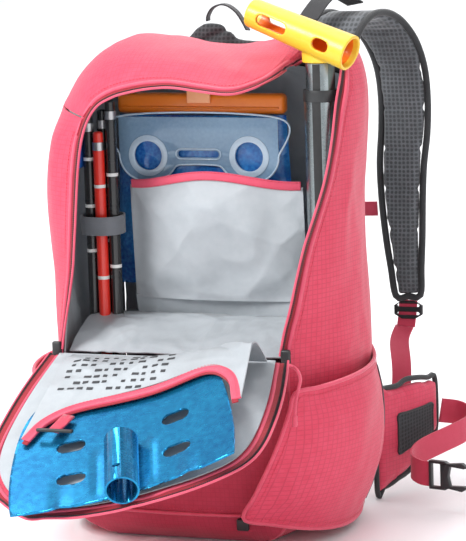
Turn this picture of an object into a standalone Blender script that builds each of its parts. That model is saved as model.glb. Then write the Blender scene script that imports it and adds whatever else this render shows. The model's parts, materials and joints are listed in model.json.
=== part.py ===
"""Panel-opening ski touring backpack, standing open with its rescue gear stowed.

Metres, +Z up. The bag opens towards -Y and the wearer's back lies against its +Y
side. The origin is on the ground, in the flat base of the bag.
"""

import math

import bmesh
import bpy
from mathutils import Matrix, Vector

# Bag
BASE_THICKNESS = 0.004
FABRIC = 0.0025
LINING = 0.0012
LAYER_GAP = 0.0014
CLEAR = 0.0005
BASE_SEAM = 0.0025
SIDE_END, ROOF_END = 7.5, 13.5

# Back system
FRAME_SHEET = 0.002
FRAME_ROD_RADIUS = 0.002
PAD_THICKNESS = 0.014
LUMBAR_TOP = 0.115

# Front flap, measured from its hinge line
HINGE_Y, HINGE_Z = -0.106, 0.188
FLAP_DROOP = math.radians(27)
FLAP_TWIST = math.tan(math.radians(9))
FLAP_LENGTH = 0.222
FLAP_MIDDLE = -0.010

# Shovel blade, placed on the flap
BLADE_WIDTH = 0.215
BLADE_DEPTH = 0.150
BLADE_SHEET = 0.002
BLADE_DISH = 0.012
BLADE_U, BLADE_W, BLADE_N = 0.022, 0.213, 0.0155
BLADE_TURN = math.radians(19)
BLADE_ROLL = math.tan(math.radians(8))
SOCKET_RADIUS, SOCKET_WALL = 0.0155, 0.0018
SOCKET_LENGTH, SOCKET_PROUD = 0.070, 0.006
BLADE_HOLES = ((-0.050, 0.038), (0.050, 0.038), (0.050, 0.084), (-0.050, 0.084))
POCKET_CLEAR = 0.004

# Shovel shaft and T grip
SHAFT_X, SHAFT_Y = 0.121, -0.015
SHAFT_HALF_X, SHAFT_HALF_Y, SHAFT_WALL = 0.016, 0.0125, 0.0014
SHAFT_BOTTOM, SHAFT_MOUTH, GRIP_STEM_BOTTOM = 0.085, 0.429, 0.455
TELESCOPE_CLEAR = 0.0005
TELESCOPE_OVERLAP = 0.105
BUTTON_RADIUS, BUTTON_LENGTH, BUTTON_DROP = 0.0035, 0.003, 0.060
BUTTON_CLEAR = 0.0004
GRIP_LENGTH, GRIP_LEFT_RADIUS, GRIP_RIGHT_RADIUS, GRIP_WALL = 0.112, 0.0140, 0.0172, 0.0030
GRIP_Z = 0.4835
GRIP_TILT, GRIP_TURN = math.radians(19), math.radians(12)

# Probe
PROBE_X, PROBE_Y, PROBE_RADIUS, PROBE_PITCH = -0.1035, -0.020, 0.0056, 0.0118
PROBE_BOTTOM, PROBE_TOP = 0.072, 0.418

# Reservoir
BAR_WIDTH, BAR_HEIGHT, BAR_DEPTH = 0.173, 0.020, 0.014
BAR_X, BAR_Y, BAR_Z = -0.0120, 0.022, 0.411
BAG_BOTTOM = 0.232

# Straps
WEBBING = 0.0016
STRAP_PAD = 0.010
WING_PAD = 0.010
YOKE_Y, YOKE_Z = 0.112, 0.430
WING_AXIS_X, WING_AXIS_Y = 0.124, 0.106

# Hoops of the bag from the front left foot, over the roof, to the front right foot:
# where each crosses the zip, the widest part of the side, and the back panel's edge.
RIM = (
    (-0.085, -0.069, 0.0020), (-0.112, -0.084, 0.022), (-0.122, -0.089, 0.075),
    (-0.126, -0.090, 0.130), (-0.125, -0.090, 0.187), (-0.114, -0.090, 0.260),
    (-0.108, -0.090, 0.332), (-0.100, -0.090, 0.389), (-0.080, -0.090, 0.426),
    (-0.045, -0.090, 0.441), (0.000, -0.090, 0.445), (0.055, -0.088, 0.438),
    (0.080, -0.050, 0.446), (0.097, 0.010, 0.460), (0.140, 0.005, 0.454),
    (0.147, -0.030, 0.410), (0.141, -0.055, 0.346), (0.127, -0.075, 0.289),
    (0.116, -0.086, 0.232), (0.106, -0.090, 0.187), (0.106, -0.090, 0.130),
    (0.104, -0.089, 0.075), (0.097, -0.084, 0.022), (0.075, -0.069, 0.0020),
)
WAIST = (
    (-0.095, 0.000, 0.0020), (-0.122, -0.010, 0.020), (-0.133, -0.015, 0.075),
    (-0.138, -0.020, 0.130), (-0.141, -0.020, 0.187), (-0.148, -0.025, 0.260),
    (-0.154, -0.028, 0.325), (-0.147, -0.025, 0.388), (-0.121, -0.020, 0.444),
    (-0.074, -0.015, 0.478), (-0.018, -0.010, 0.470), (0.034, -0.005, 0.462),
    (0.070, 0.018, 0.465), (0.101, 0.047, 0.484), (0.144, 0.040, 0.462),
    (0.154, 0.022, 0.410), (0.150, 0.010, 0.346), (0.1475, 0.000, 0.289),
    (0.149, -0.005, 0.232), (0.150, -0.010, 0.187), (0.147, -0.010, 0.130),
    (0.143, -0.010, 0.075), (0.124, -0.010, 0.020), (0.090, 0.000, 0.0020),
)
BACK = (
    (-0.095, 0.085, 0.0020), (-0.120, 0.085, 0.020), (-0.128, 0.085, 0.075),
    (-0.130, 0.085, 0.130), (-0.130, 0.085, 0.187), (-0.130, 0.085, 0.260),
    (-0.130, 0.085, 0.325), (-0.125, 0.085, 0.388), (-0.108, 0.085, 0.437),
    (-0.070, 0.085, 0.468), (-0.018, 0.085, 0.460), (0.022, 0.085, 0.460),
    (0.060, 0.085, 0.472), (0.100, 0.085, 0.478), (0.127, 0.085, 0.440),
    (0.130, 0.085, 0.400), (0.130, 0.085, 0.346), (0.130, 0.085, 0.289),
    (0.130, 0.085, 0.232), (0.130, 0.085, 0.187), (0.130, 0.085, 0.130),
    (0.128, 0.085, 0.075), (0.120, 0.085, 0.020), (0.092, 0.085, 0.0020),
)
ZIP_FIRST, ZIP_LAST = 4.0, 19.0

# Sides of the flap: distance across, and share of its length from the hinge.
FLAP_LEFT = ((-0.120, 0.027), (-0.132, 0.315), (-0.135, 0.640), (-0.112, 0.856), (-0.070, 0.986))
FLAP_RIGHT = ((0.105, 0.027), (0.118, 0.360), (0.119, 0.676), (0.090, 0.829), (0.040, 0.941))
HEM = ((-0.101, 0.150), (-0.090, 0.118), (-0.060, 0.094), (0.008, 0.076), (0.059, 0.060),
       (0.092, 0.080), (0.108, 0.115))

RIGHT_STRAP = ((0.085, 0.118, 0.432), (0.088, 0.132, 0.466), (0.095, 0.170, 0.484),
               (0.108, 0.215, 0.472), (0.122, 0.246, 0.432), (0.124, 0.260, 0.375),
               (0.119, 0.260, 0.310), (0.122, 0.254, 0.240), (0.126, 0.250, 0.182))
LEFT_STRAP = ((-0.085, 0.118, 0.424), (-0.090, 0.134, 0.444), (-0.098, 0.162, 0.444),
              (-0.108, 0.192, 0.418), (-0.116, 0.212, 0.370), (-0.116, 0.218, 0.310),
              (-0.118, 0.216, 0.240), (-0.120, 0.212, 0.178))
RIGHT_LOWER = ((0.1215, 0.2490, 0.1500), (0.120, 0.232, 0.138), (0.131, 0.202, 0.122),
               (0.136, 0.180, 0.095), (0.131, 0.160, 0.072))
LEFT_LOWER = ((-0.1180, 0.2110, 0.1460), (-0.120, 0.200, 0.130), (-0.128, 0.185, 0.110),
              (-0.134, 0.172, 0.090), (-0.131, 0.158, 0.070))
WING = ((0.126, 0.110, 0.060, 0.112), (0.140, 0.140, 0.062, 0.104), (0.154, 0.172, 0.070, 0.086),
        (0.165, 0.205, 0.080, 0.052))
RIGHT_HIP_WEBBING = ((0.1680, 0.2140, 0.070), (0.186, 0.224, 0.066), (0.203, 0.208, 0.062),
                     (0.202, 0.184, 0.058), (0.186, 0.152, 0.053), (0.170, 0.122, 0.047),
                     (0.168, 0.100, 0.040), (0.180, 0.089, 0.036), (0.1905, 0.0855, 0.0355))
LEFT_HIP_WEBBING = ((-0.1680, 0.2140, 0.070), (-0.178, 0.226, 0.066), (-0.190, 0.234, 0.062),
                    (-0.203, 0.238, 0.058))


def clear_scene():
    for item in list(bpy.data.objects):
        bpy.data.objects.remove(item)


def make_material(name, colour, roughness, metallic=0.0):
    material = bpy.data.materials.new(name)
    material.use_nodes = True
    shader = material.node_tree.nodes["Principled BSDF"]
    shader.inputs["Base Color"].default_value = (*colour, 1.0)
    shader.inputs["Roughness"].default_value = roughness
    shader.inputs["Metallic"].default_value = metallic
    return material


def smooth_point(points, place):
    """Point at `place` (0 to the last index) on a smooth curve through the points."""
    points = [Vector(p) for p in points]
    last = len(points) - 1
    place = min(max(place, 0.0), last)
    first = min(int(place), last - 1)
    t = place - first
    before = points[max(first - 1, 0)]
    after = points[min(first + 2, last)]
    a, b = points[first], points[first + 1]
    slope_a = (b - before) / (2 if first > 0 else 1)
    slope_b = (after - a) / (2 if first + 2 <= last else 1)
    return (a * (2 * t**3 - 3 * t**2 + 1) + slope_a * (t**3 - 2 * t**2 + t)
            + b * (3 * t**2 - 2 * t**3) + slope_b * (t**3 - t**2))


def smooth_path(points, count):
    last = len(points) - 1
    return [smooth_point(points, last * i / (count - 1)) for i in range(count)]


def place_object(name, data, material):
    made = bpy.data.objects.new(name, data)
    data.materials.append(material)
    PARTS.objects.link(made)
    return made


def grid_mesh(name, surface, columns, rows):
    """Open sheet through surface(a, b) for a and b from 0 to 1."""
    mesh = bpy.data.meshes.new(name)
    shape = bmesh.new()
    verts = [[shape.verts.new(surface(i / columns, j / rows)) for i in range(columns + 1)]
             for j in range(rows + 1)]
    for low, high in zip(verts, verts[1:]):
        for i in range(columns):
            shape.faces.new((low[i], low[i + 1], high[i + 1], high[i]))
    shape.to_mesh(mesh)
    shape.free()
    return mesh


def sheet(name, surface, columns, rows, thickness, material, side=-1.0):
    """Shell of the thickness: side -1 grows behind the surface, 1 before it, 0 both ways."""
    made = place_object(name, grid_mesh(name, surface, columns, rows), material)
    shell = made.modifiers.new("Wall", "SOLIDIFY")
    shell.thickness = thickness
    shell.offset = side
    shell.use_even_offset = True
    return made


def band(name, path, widths, thickness, across, material, count=12, columns=2):
    """Strap along a path, its width laid along the direction `across`."""
    line = smooth_path(path, count)
    across = Vector(across).normalized()
    spread = [smooth_point([(w, 0, 0) for w in widths], (len(widths) - 1) * i / (count - 1)).x
              for i in range(count)]

    def surface(a, b):
        i = round(b * (count - 1))
        run = (line[min(i + 1, count - 1)] - line[max(i - 1, 0)]).normalized()
        side = (across - run * across.dot(run)).normalized()
        return line[i] + side * ((a - 0.5) * spread[i])

    return sheet(name, surface, columns, count - 1, thickness, material, 0.0)


def tube(name, points, radius, material, closed=False):
    curve = bpy.data.curves.new(name, "CURVE")
    curve.dimensions = "3D"
    curve.bevel_depth = radius
    curve.bevel_resolution = 2
    curve.use_fill_caps = not closed
    line = curve.splines.new("POLY")
    line.points.add(len(points) - 1)
    for slot, point in zip(line.points, points):
        slot.co = (*point, 1.0)
    line.use_cyclic_u = closed
    return place_object(name, curve, material)


def plate(name, outlines, thickness, material, matrix):
    """Flat piece: the first outline is its edge and the others are holes."""
    curve = bpy.data.curves.new(name, "CURVE")
    curve.dimensions = "2D"
    curve.fill_mode = "BOTH"
    curve.extrude = thickness / 2
    for outline in outlines:
        line = curve.splines.new("POLY")
        line.points.add(len(outline) - 1)
        for slot, (x, y) in zip(line.points, outline):
            slot.co = (x, y, 0.0, 1.0)
        line.use_cyclic_u = True
    made = place_object(name, curve, material)
    made.matrix_world = matrix
    return made


def oval(half_x, half_y, count=24, centre=(0.0, 0.0)):
    turns = [2 * math.pi * i / count for i in range(count)]
    return [(centre[0] + half_x * math.cos(t), centre[1] + half_y * math.sin(t)) for t in turns]


def slot_outline(half_long, half_wide, centre=(0.0, 0.0), count=6):
    """Slot with round ends, its length along x."""
    straight = half_long - half_wide
    ends = []
    for sign in (1, -1):
        for i in range(count + 1):
            turn = math.pi * (i / count - 0.5)
            ends.append((centre[0] + sign * (straight + half_wide * math.cos(turn)),
                         centre[1] + sign * half_wide * math.sin(turn)))
    return ends


def upright(x=0.0, y=0.0, z=0.0):
    """Turns a flat outline's y into +Z and its normal into -Y."""
    return Matrix.Translation((x, y, z)) @ Matrix.Rotation(math.radians(90), 4, "X")


def to_mesh_object(made):
    """Swaps a curve for a closed mesh of the same name, so that it can be cut."""
    graph = bpy.context.evaluated_depsgraph_get()
    mesh = bpy.data.meshes.new_from_object(made.evaluated_get(graph))
    shape = bmesh.new()
    shape.from_mesh(mesh)
    bmesh.ops.remove_doubles(shape, verts=shape.verts, dist=1e-6)
    shape.to_mesh(mesh)
    shape.free()
    name, place = made.name, made.matrix_world.copy()
    bpy.data.objects.remove(made)
    solid = bpy.data.objects.new(name, mesh)
    PARTS.objects.link(solid)
    solid.matrix_world = place
    return solid


def cylinder(name, radius, length, matrix, radius_top=None, sides=24):
    """Cylinder or cone along z of the matrix, centred on it."""
    mesh = bpy.data.meshes.new(name)
    shape = bmesh.new()
    bmesh.ops.create_cone(shape, cap_ends=True, segments=sides, radius1=radius,
                          radius2=radius if radius_top is None else radius_top,
                          depth=length, matrix=matrix)
    shape.to_mesh(mesh)
    shape.free()
    return mesh


def helper(name, mesh):
    made = bpy.data.objects.new(name, mesh)
    made.hide_render = True
    made.display_type = "WIRE"
    CUTTERS.objects.link(made)
    return made


def combine(made, other, operation):
    change = made.modifiers.new(other.name, "BOOLEAN")
    change.operation = operation
    change.solver = "EXACT"
    change.object = other


def box_mesh(name, low, high):
    mesh = bpy.data.meshes.new(name)
    shape = bmesh.new()
    size = Vector(high) - Vector(low)
    middle = (Vector(high) + Vector(low)) / 2
    bmesh.ops.create_cube(shape, size=1.0,
                          matrix=Matrix.Translation(middle) @ Matrix.Diagonal((*size, 1.0)))
    shape.to_mesh(mesh)
    shape.free()
    return mesh


def soften(made, width, segments=2):
    edge = made.modifiers.new("Rounded edges", "BEVEL")
    edge.width = width
    edge.segments = segments
    edge.limit_method = "ANGLE"
    return made


def carry(name, origin, *pieces):
    """Hangs the pieces on an empty that stands on their joint's axis."""
    pivot = bpy.data.objects.new(name, None)
    pivot.location = origin
    PARTS.objects.link(pivot)
    bpy.context.view_layer.update()
    for piece in pieces:
        piece.parent = pivot
        piece.matrix_parent_inverse = pivot.matrix_world.inverted()
    return pivot


# The bag -----------------------------------------------------------------------------

def bag_point(hoop, depth):
    """Point on the bag's outside: hoop counts the stations, depth runs from zip to back."""
    front, middle, back = (smooth_point(line, hoop) for line in (RIM, WAIST, BACK))
    control = middle * 2 - (front + back) / 2
    return front * (1 - depth)**2 + control * (2 * depth * (1 - depth)) + back * depth**2


def bag_frame(hoop, depth):
    """Point on the bag's outside, the way from the zip into the cloth and the way into the bag."""
    along = (bag_point(hoop + 0.02, depth) - bag_point(hoop - 0.02, depth)).normalized()
    across = bag_point(hoop, min(depth + 0.02, 1.0)) - bag_point(hoop, max(depth - 0.02, 0.0))
    inward = across.cross(along).normalized()
    return bag_point(hoop, depth), along.cross(inward), inward


def bag_panel(name, first, last, thickness, inset, material, trim=0.02):
    """Panel of the bag between two hoops, `inset` below the bag's outer face."""
    rows = round(2 * (last - first))
    hoops = [first + trim] + [first + i / 2 for i in range(1, rows)] + [last - trim]

    def surface(a, b):
        here, _, inward = bag_frame(hoops[round(b * rows)], a)
        return here + inward * inset

    return sheet(name, surface, 6, rows, thickness, material, 1.0)


def make_bag():
    last = len(RIM) - 1
    bag_panel("side_panel_left", 0, SIDE_END, FABRIC, 0.0, CORAL)
    bag_panel("top_panel", SIDE_END, ROOF_END, FABRIC, 0.0, CORAL)
    bag_panel("side_panel_right", ROOF_END, last, FABRIC, 0.0, CORAL)
    bag_panel("lining_shell", ZIP_FIRST - 0.5, ZIP_LAST + 0.5, LINING, FABRIC + LAYER_GAP, LINING_GREY, 0.0)
    make_front_lower_panel()
    make_base()
    make_zip_track()


def make_base():
    """Flat floor of the bag, a seam's width inside the feet of its side panels."""
    outline = []
    for foot, sign in ((0, 1.0), (len(RIM) - 1, -1.0)):
        side = [bag_point(foot, i / 4) for i in range(5)]
        side = [(p.x + sign * BASE_SEAM, min(p.y, BACK[0][1] - BASE_SEAM)) for p in side]
        outline += side if sign > 0 else side[::-1]
    plate("base_panel", [outline], BASE_THICKNESS, DUSKY, Matrix.Translation((0, 0, BASE_THICKNESS / 2)))


def make_front_lower_panel():
    """Closed lower front, from the base up to the hinge of the flap."""
    top_hoop, rise = ZIP_FIRST - 0.15, 4.0

    def surface(a, b):
        left = smooth_point(RIM, top_hoop * b)
        right = smooth_point(RIM, len(RIM) - 1 - top_hoop * b)
        point = left.lerp(right, a)
        point.y -= 0.001 + FABRIC + 0.010 * math.sin(math.pi * a) * min(1.0, rise * b * (1.02 - b))
        point.z = max(point.z, 0.0015)
        return point

    sheet("front_lower_panel", surface, 8, 8, FABRIC, DEEP_RED, -1.0)


def make_zip_track():
    points = []
    for i in range(round(2 * (ZIP_LAST - ZIP_FIRST)) + 1):
        here, cloth, inward = bag_frame(ZIP_FIRST + i / 2, 0.0)
        points.append(here - cloth * 0.0028 + inward * (FABRIC / 2))
    tube("zip_track_body", points, 0.0015, PIPING)


def back_outline(inset, bottom, lift=0.0):
    """Outline of the back between the two lower corners, pulled in by `inset`."""
    middle = Vector((0.0, 0.25))
    outline = []
    for i in range(4 * (len(BACK) - 1) + 1):
        point = smooth_point(BACK, i / 4)
        flat = Vector((point.x, point.z))
        flat += (middle - flat).normalized() * inset
        if flat.y > bottom:
            outline.append((flat.x, flat.y + (lift if flat.y > 0.40 else 0.0)))
    outline.insert(0, (outline[0][0], bottom))
    outline.append((outline[-1][0], bottom))
    return outline[::3] if (len(outline) - 1) % 3 == 0 else outline[::3] + [outline[-1]]


def make_back_system():
    sheet_y = 0.085 + CLEAR + FRAME_SHEET / 2
    plate("frame_sheet", [back_outline(0.006, 0.012)], FRAME_SHEET, BLACK_PLASTIC, upright(y=sheet_y))
    rod_y = sheet_y + FRAME_SHEET / 2 + CLEAR + FRAME_ROD_RADIUS
    rod = ((-0.080, 0.050), (-0.086, 0.150), (-0.088, 0.300), (-0.080, 0.390), (-0.045, 0.432),
           (0.045, 0.432), (0.080, 0.390), (0.088, 0.300), (0.086, 0.150), (0.080, 0.050))
    tube("frame_rod", [(p.x, rod_y, p.y) for p in smooth_path([(*r, 0) for r in rod], 28)],
         FRAME_ROD_RADIUS, STEEL)
    pad_y = rod_y + FRAME_ROD_RADIUS + CLEAR + PAD_THICKNESS / 2
    top = ((0.096, 0.440), (0.090, 0.474), (0.076, 0.486), (0.040, 0.470), (0.010, 0.466), (-0.006, 0.479),
           (-0.027, 0.489), (-0.048, 0.482), (-0.058, 0.464), (-0.090, 0.445), (-0.100, 0.410))
    low = LUMBAR_TOP + 0.006
    sides = ((-0.104, 0.300), (-0.100, 0.180), (-0.090, low), (0.090, low), (0.100, 0.180), (0.104, 0.300),
             (0.100, 0.410))
    plate("back_pad", [top + sides], PAD_THICKNESS, MESH_BLACK, upright(y=pad_y))
    lumbar = ((-0.112, 0.020), (-0.096, 0.004), (0.096, 0.004), (0.112, 0.020), (0.114, 0.100),
              (0.100, LUMBAR_TOP), (-0.100, LUMBAR_TOP), (-0.114, 0.100))
    plate("lumbar_pad", [lumbar], PAD_THICKNESS, MESH_BLACK, upright(y=pad_y))
    inner = 0.085 - 0.0035
    plate("lining_back", [back_outline(0.010, 0.020)], LINING, LINING_GREY, upright(y=inner - LINING / 2))
    loop = ((-0.034, 0.4800), (-0.034, 0.4870), (-0.028, 0.4960), (-0.016, 0.4990), (-0.004, 0.4920),
            (0.004, 0.4800), (0.008, 0.4720))
    loop_y = pad_y + PAD_THICKNESS / 2 + 0.0030
    line = [(p.x, loop_y, p.y) for p in smooth_path([(*r, 0) for r in loop], 20)]
    haul = tube("haul_loop", line, 0.0018, BLACK_WEB)
    carry("haul_loop_axis", (-0.013, loop_y, 0.472), haul)


# Inside ------------------------------------------------------------------------------

def make_compartment_floor():
    """Fabric floor of the compartment, rising from the flap's hinge to the back."""
    def surface(a, b):
        x = -0.117 + 0.217 * a
        y = -0.086 + 0.158 * b
        z = 0.184 + 0.020 * math.sin(math.pi * min(1.0, 1.25 * b)) + 0.010 * b
        return Vector((x, y, z))

    floor = sheet("compartment_floor", surface, 8, 8, LINING, LINING_GREY)
    room = 0.003
    shaft_hole = box_mesh("shaft_hole", (SHAFT_X - SHAFT_HALF_X - room, SHAFT_Y - SHAFT_HALF_Y - room, 0.1),
                          (SHAFT_X + SHAFT_HALF_X + room, SHAFT_Y + SHAFT_HALF_Y + room, 0.3))
    combine(floor, helper("shaft_hole", shaft_hole), "DIFFERENCE")
    reach = PROBE_PITCH * 1.5 + PROBE_RADIUS + room
    probe_hole = box_mesh("probe_hole", (PROBE_X - reach - 0.01, PROBE_Y - 0.020, 0.1),
                          (PROBE_X + reach, PROBE_Y + 0.020, 0.3))
    combine(floor, helper("probe_hole", probe_hole), "DIFFERENCE")


def pocket_surface(a, b):
    """Front of the reservoir pocket, b from the floor to the hem."""
    x = -0.079 + 0.176 * a
    dip = 0.006 * math.cos(2 * math.pi * a)
    z = 0.222 + (0.118 - dip) * b
    y = 0.002 - 0.024 * math.sin(math.pi * a) * (0.35 + 0.65 * b) - 0.006 * b
    return Vector((x, y, z))


def make_reservoir_pocket():
    sheet("reservoir_pocket", pocket_surface, 10, 6, LINING, LINING_GREY, 1.0)
    hem = [pocket_surface(i / 16, 1.0) + Vector((0.0, 0.0, 0.0035)) for i in range(17)]
    tube("reservoir_pocket_hem", hem, 0.0028, PIPING)


def make_reservoir():
    def surface(a, b):
        turn = 2 * math.pi * a
        half = 0.0860 + 0.0045 * math.sin(math.pi * (1 - b) * 0.6)
        thick = 0.003 + 0.009 * math.sin(math.pi * min(1.0, (1 - b) + 0.12)) ** 0.7
        z = BAG_BOTTOM + (BAR_Z - BAR_HEIGHT / 2 - 0.001 - BAG_BOTTOM) * b
        return Vector((BAR_X + half * math.copysign(abs(math.cos(turn))**0.6, math.cos(turn)),
                       BAR_Y + thick * math.sin(turn), z))

    ring_solid("reservoir_bag", surface, 16, 8, WATER_BLUE)
    middle, half = Vector((BAR_X, BAR_Y, BAR_Z)), Vector((BAR_WIDTH, BAR_DEPTH, BAR_HEIGHT)) / 2
    bar = box_mesh("reservoir_slide_bar", middle - half, middle + half)
    slide_bar = soften(place_object("reservoir_slide_bar", bar, ORANGE), 0.005)
    front = BAR_Y - BAR_DEPTH / 2 - CLEAR
    tab = box_mesh("reservoir_clip_tab", (BAR_X - 0.012, front - 0.003, 0.412), (BAR_X + 0.012, front, 0.427))
    soften(place_object("reservoir_clip_tab", tab, PEACH), 0.001, 1)
    make_reservoir_handle()
    carry("slide_bar_axis", (BAR_X, BAR_Y, BAR_Z), slide_bar)


def ring_solid(name, surface, sides, rows, material):
    """Closed solid of rings: surface(a, b) goes round with a and up with b."""
    mesh = bpy.data.meshes.new(name)
    shape = bmesh.new()
    rings = [[shape.verts.new(surface(i / sides, j / rows)) for i in range(sides)] for j in range(rows + 1)]
    for low, high in zip(rings, rings[1:]):
        for i in range(sides):
            n = (i + 1) % sides
            shape.faces.new((low[i], low[n], high[n], high[i]))
    shape.faces.new(rings[0][::-1])
    shape.faces.new(rings[-1])
    bmesh.ops.recalc_face_normals(shape, faces=shape.faces)
    shape.to_mesh(mesh)
    shape.free()
    return place_object(name, mesh, material)


def make_reservoir_handle():
    """Clear plate under the slide bar, with two finger rings and a slot."""
    ring_x, ring_z, lobe = 0.052, -0.038, 0.026
    top, half = 0.0, 0.082
    outline = [(-half, top), (-half, ring_z)]
    for i in range(1, 8):
        turn = math.pi * (1 + 0.75 * i / 8)
        outline.append((-ring_x + (half - ring_x) * math.cos(turn), ring_z + lobe * math.sin(turn)))
    outline += [(-0.018, -0.047), (0.018, -0.047)]
    right = [(-x, z) for x, z in outline[1:-2]][::-1]
    outline += right + [(half, top)]
    holes = [oval(0.0145, 0.0145, 16, (-ring_x, ring_z)), oval(0.0145, 0.0145, 16, (ring_x, ring_z)),
             slot_outline(0.021, 0.0032, (0.0, ring_z + 0.002), 3)]
    plate("reservoir_handle", [outline] + holes, 0.0015, CLEAR_PLASTIC,
          upright(BAR_X, BAR_Y - 0.0145, BAR_Z - BAR_HEIGHT / 2 - 0.002))


def make_probe():
    places = {"probe_tube_left": (-1.0, 0.0, 0.012), "probe_tube_red": (0.0, -0.35, 0.030),
              "probe_tube_right": (1.0, 0.0, 0.0), "probe_tube_rear": (0.0, 0.75, 0.010)}
    tubes = []
    for name, (across, back, drop) in places.items():
        x = PROBE_X + PROBE_PITCH * across
        y = PROBE_Y + PROBE_PITCH * back
        top = PROBE_TOP - drop
        mesh = cylinder(name, PROBE_RADIUS, top - PROBE_BOTTOM,
                        Matrix.Translation((x, y, (top + PROBE_BOTTOM) / 2)), sides=12)
        material = PROBE_RED if name == "probe_tube_red" else PROBE_BLACK
        tubes.append(place_object(name, mesh, material))
    handle = box_mesh("probe_pull_grip", (-0.130, PROBE_Y - 0.010, 0.352), (-0.1218, PROBE_Y + 0.004, 0.398))
    tubes.append(soften(place_object("probe_pull_grip", handle, GRIP_BLUE), 0.002, 1))
    carry("probe_axis", (PROBE_X, PROBE_Y, PROBE_BOTTOM), *tubes)
    reach = PROBE_PITCH + PROBE_RADIUS + 0.0016

    def surface(a, b):
        turn = 2 * math.pi * a
        lean = math.copysign(abs(math.cos(turn))**0.7, math.cos(turn))
        return Vector((PROBE_X - 0.0008 + (reach + 0.001) * lean, PROBE_Y + 0.0025 + 0.0195 * math.sin(turn),
                       0.288 + 0.018 * b))

    ring_band("probe_loop", surface, 20, 0.0016, ELASTIC)


def ring_band(name, surface, sides, thickness, material):
    """Closed band round the pieces it holds."""
    mesh = bpy.data.meshes.new(name)
    shape = bmesh.new()
    low, high = ([shape.verts.new(surface(i / sides, b)) for i in range(sides)] for b in (0.0, 1.0))
    for i in range(sides):
        n = (i + 1) % sides
        shape.faces.new((low[i], low[n], high[n], high[i]))
    shape.to_mesh(mesh)
    shape.free()
    made = place_object(name, mesh, material)
    shell = made.modifiers.new("Wall", "SOLIDIFY")
    shell.thickness = thickness
    shell.offset = 1.0
    return made


# Shovel ------------------------------------------------------------------------------

def make_shaft():
    outer = [oval(SHAFT_HALF_X, SHAFT_HALF_Y), oval(SHAFT_HALF_X - SHAFT_WALL, SHAFT_HALF_Y - SHAFT_WALL)]
    length = SHAFT_MOUTH - SHAFT_BOTTOM
    place = Matrix.Translation((SHAFT_X, SHAFT_Y, SHAFT_BOTTOM + length / 2))
    lower = to_mesh_object(plate("shaft_lower_tube", outer, length, ALUMINIUM, place))
    button_z = SHAFT_MOUTH - BUTTON_DROP
    face_y = SHAFT_Y + SHAFT_HALF_Y
    facing = Matrix.Translation((SHAFT_X, face_y, button_z)) @ Matrix.Rotation(math.radians(90), 4, "X")
    hole = cylinder("button_hole", BUTTON_RADIUS + BUTTON_CLEAR, 0.010, facing, sides=16)
    combine(lower, helper("button_hole", hole), "DIFFERENCE")

    shrink = SHAFT_WALL + TELESCOPE_CLEAR
    half_x, half_y = SHAFT_HALF_X - shrink, SHAFT_HALF_Y - shrink
    inner = [oval(half_x, half_y), oval(half_x - SHAFT_WALL, half_y - SHAFT_WALL)]
    bottom, top = SHAFT_MOUTH - TELESCOPE_OVERLAP, GRIP_STEM_BOTTOM - 0.0004
    place = Matrix.Translation((SHAFT_X, SHAFT_Y, (bottom + top) / 2))
    upper = plate("shaft_upper_tube", inner, top - bottom, ALUMINIUM, place)

    pin = Matrix.Translation((SHAFT_X, face_y + BUTTON_LENGTH / 2 + 0.0002, button_z))
    button = cylinder("shaft_lock_button", BUTTON_RADIUS, BUTTON_LENGTH,
                      pin @ Matrix.Rotation(math.radians(90), 4, "X"), sides=16)
    button = place_object("shaft_lock_button", button, BLACK_PLASTIC)
    grip = make_t_grip()
    carry("shaft_axis", (SHAFT_X, SHAFT_Y, SHAFT_BOTTOM), lower)
    carry("telescope_axis", (SHAFT_X, SHAFT_Y, SHAFT_MOUTH), upper, grip)
    carry("button_axis", (SHAFT_X, face_y, button_z), button)


def make_t_grip():
    """Hollow, slightly coned cross bar on an oval stem, with finger slots."""
    middle = Matrix.Translation((SHAFT_X - 0.016, SHAFT_Y - 0.006, GRIP_Z))
    lie = (middle @ Matrix.Rotation(-GRIP_TURN, 4, "Z") @ Matrix.Rotation(GRIP_TILT, 4, "Y")
           @ Matrix.Rotation(math.radians(90), 4, "Y"))
    bar = cylinder("t_grip", GRIP_LEFT_RADIUS, GRIP_LENGTH, lie, GRIP_RIGHT_RADIUS)
    grip = place_object("t_grip", bar, YELLOW)
    stem_top = GRIP_Z - 0.004
    stem = [oval(SHAFT_HALF_X + 0.001, SHAFT_HALF_Y + 0.001)]
    stem = plate("grip_stem", stem, stem_top - GRIP_STEM_BOTTOM, YELLOW,
                 Matrix.Translation((SHAFT_X, SHAFT_Y, (stem_top + GRIP_STEM_BOTTOM) / 2)))
    combine(grip, as_cutter(stem), "UNION")
    bore = cylinder("grip_bore", GRIP_LEFT_RADIUS - GRIP_WALL, GRIP_LENGTH + 0.02, lie,
                    GRIP_RIGHT_RADIUS - GRIP_WALL)
    combine(grip, helper("grip_bore", bore), "DIFFERENCE")
    for number, shift in enumerate((-0.026, 0.030)):
        slot = plate(f"grip_slot_{number}", [slot_outline(0.017 if number == 0 else 0.009, 0.0055)], 0.05,
                     YELLOW, lie @ Matrix.Translation((0.0, 0.0, shift))
                     @ Matrix.Rotation(math.radians(90), 4, "Y") @ Matrix.Rotation(math.radians(90), 4, "X"))
        combine(grip, as_cutter(slot), "DIFFERENCE")
    return grip


# Flap --------------------------------------------------------------------------------

ALONG = Vector((0.0, -math.cos(FLAP_DROOP), -math.sin(FLAP_DROOP)))
ABOVE = Vector((0.0, -math.sin(FLAP_DROOP), math.cos(FLAP_DROOP)))


def flap_point(u, w, n):
    """World point of flap coordinates: across, from the hinge, and above the lining side."""
    return Vector((u, HINGE_Y, HINGE_Z)) + ALONG * w + ABOVE * n


def flap_rise(u, w):
    """How far the flap's cloth lies above its hinge plane, as its right side is held up."""
    return FLAP_TWIST * (w / FLAP_LENGTH) * (u - FLAP_MIDDLE)


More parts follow.
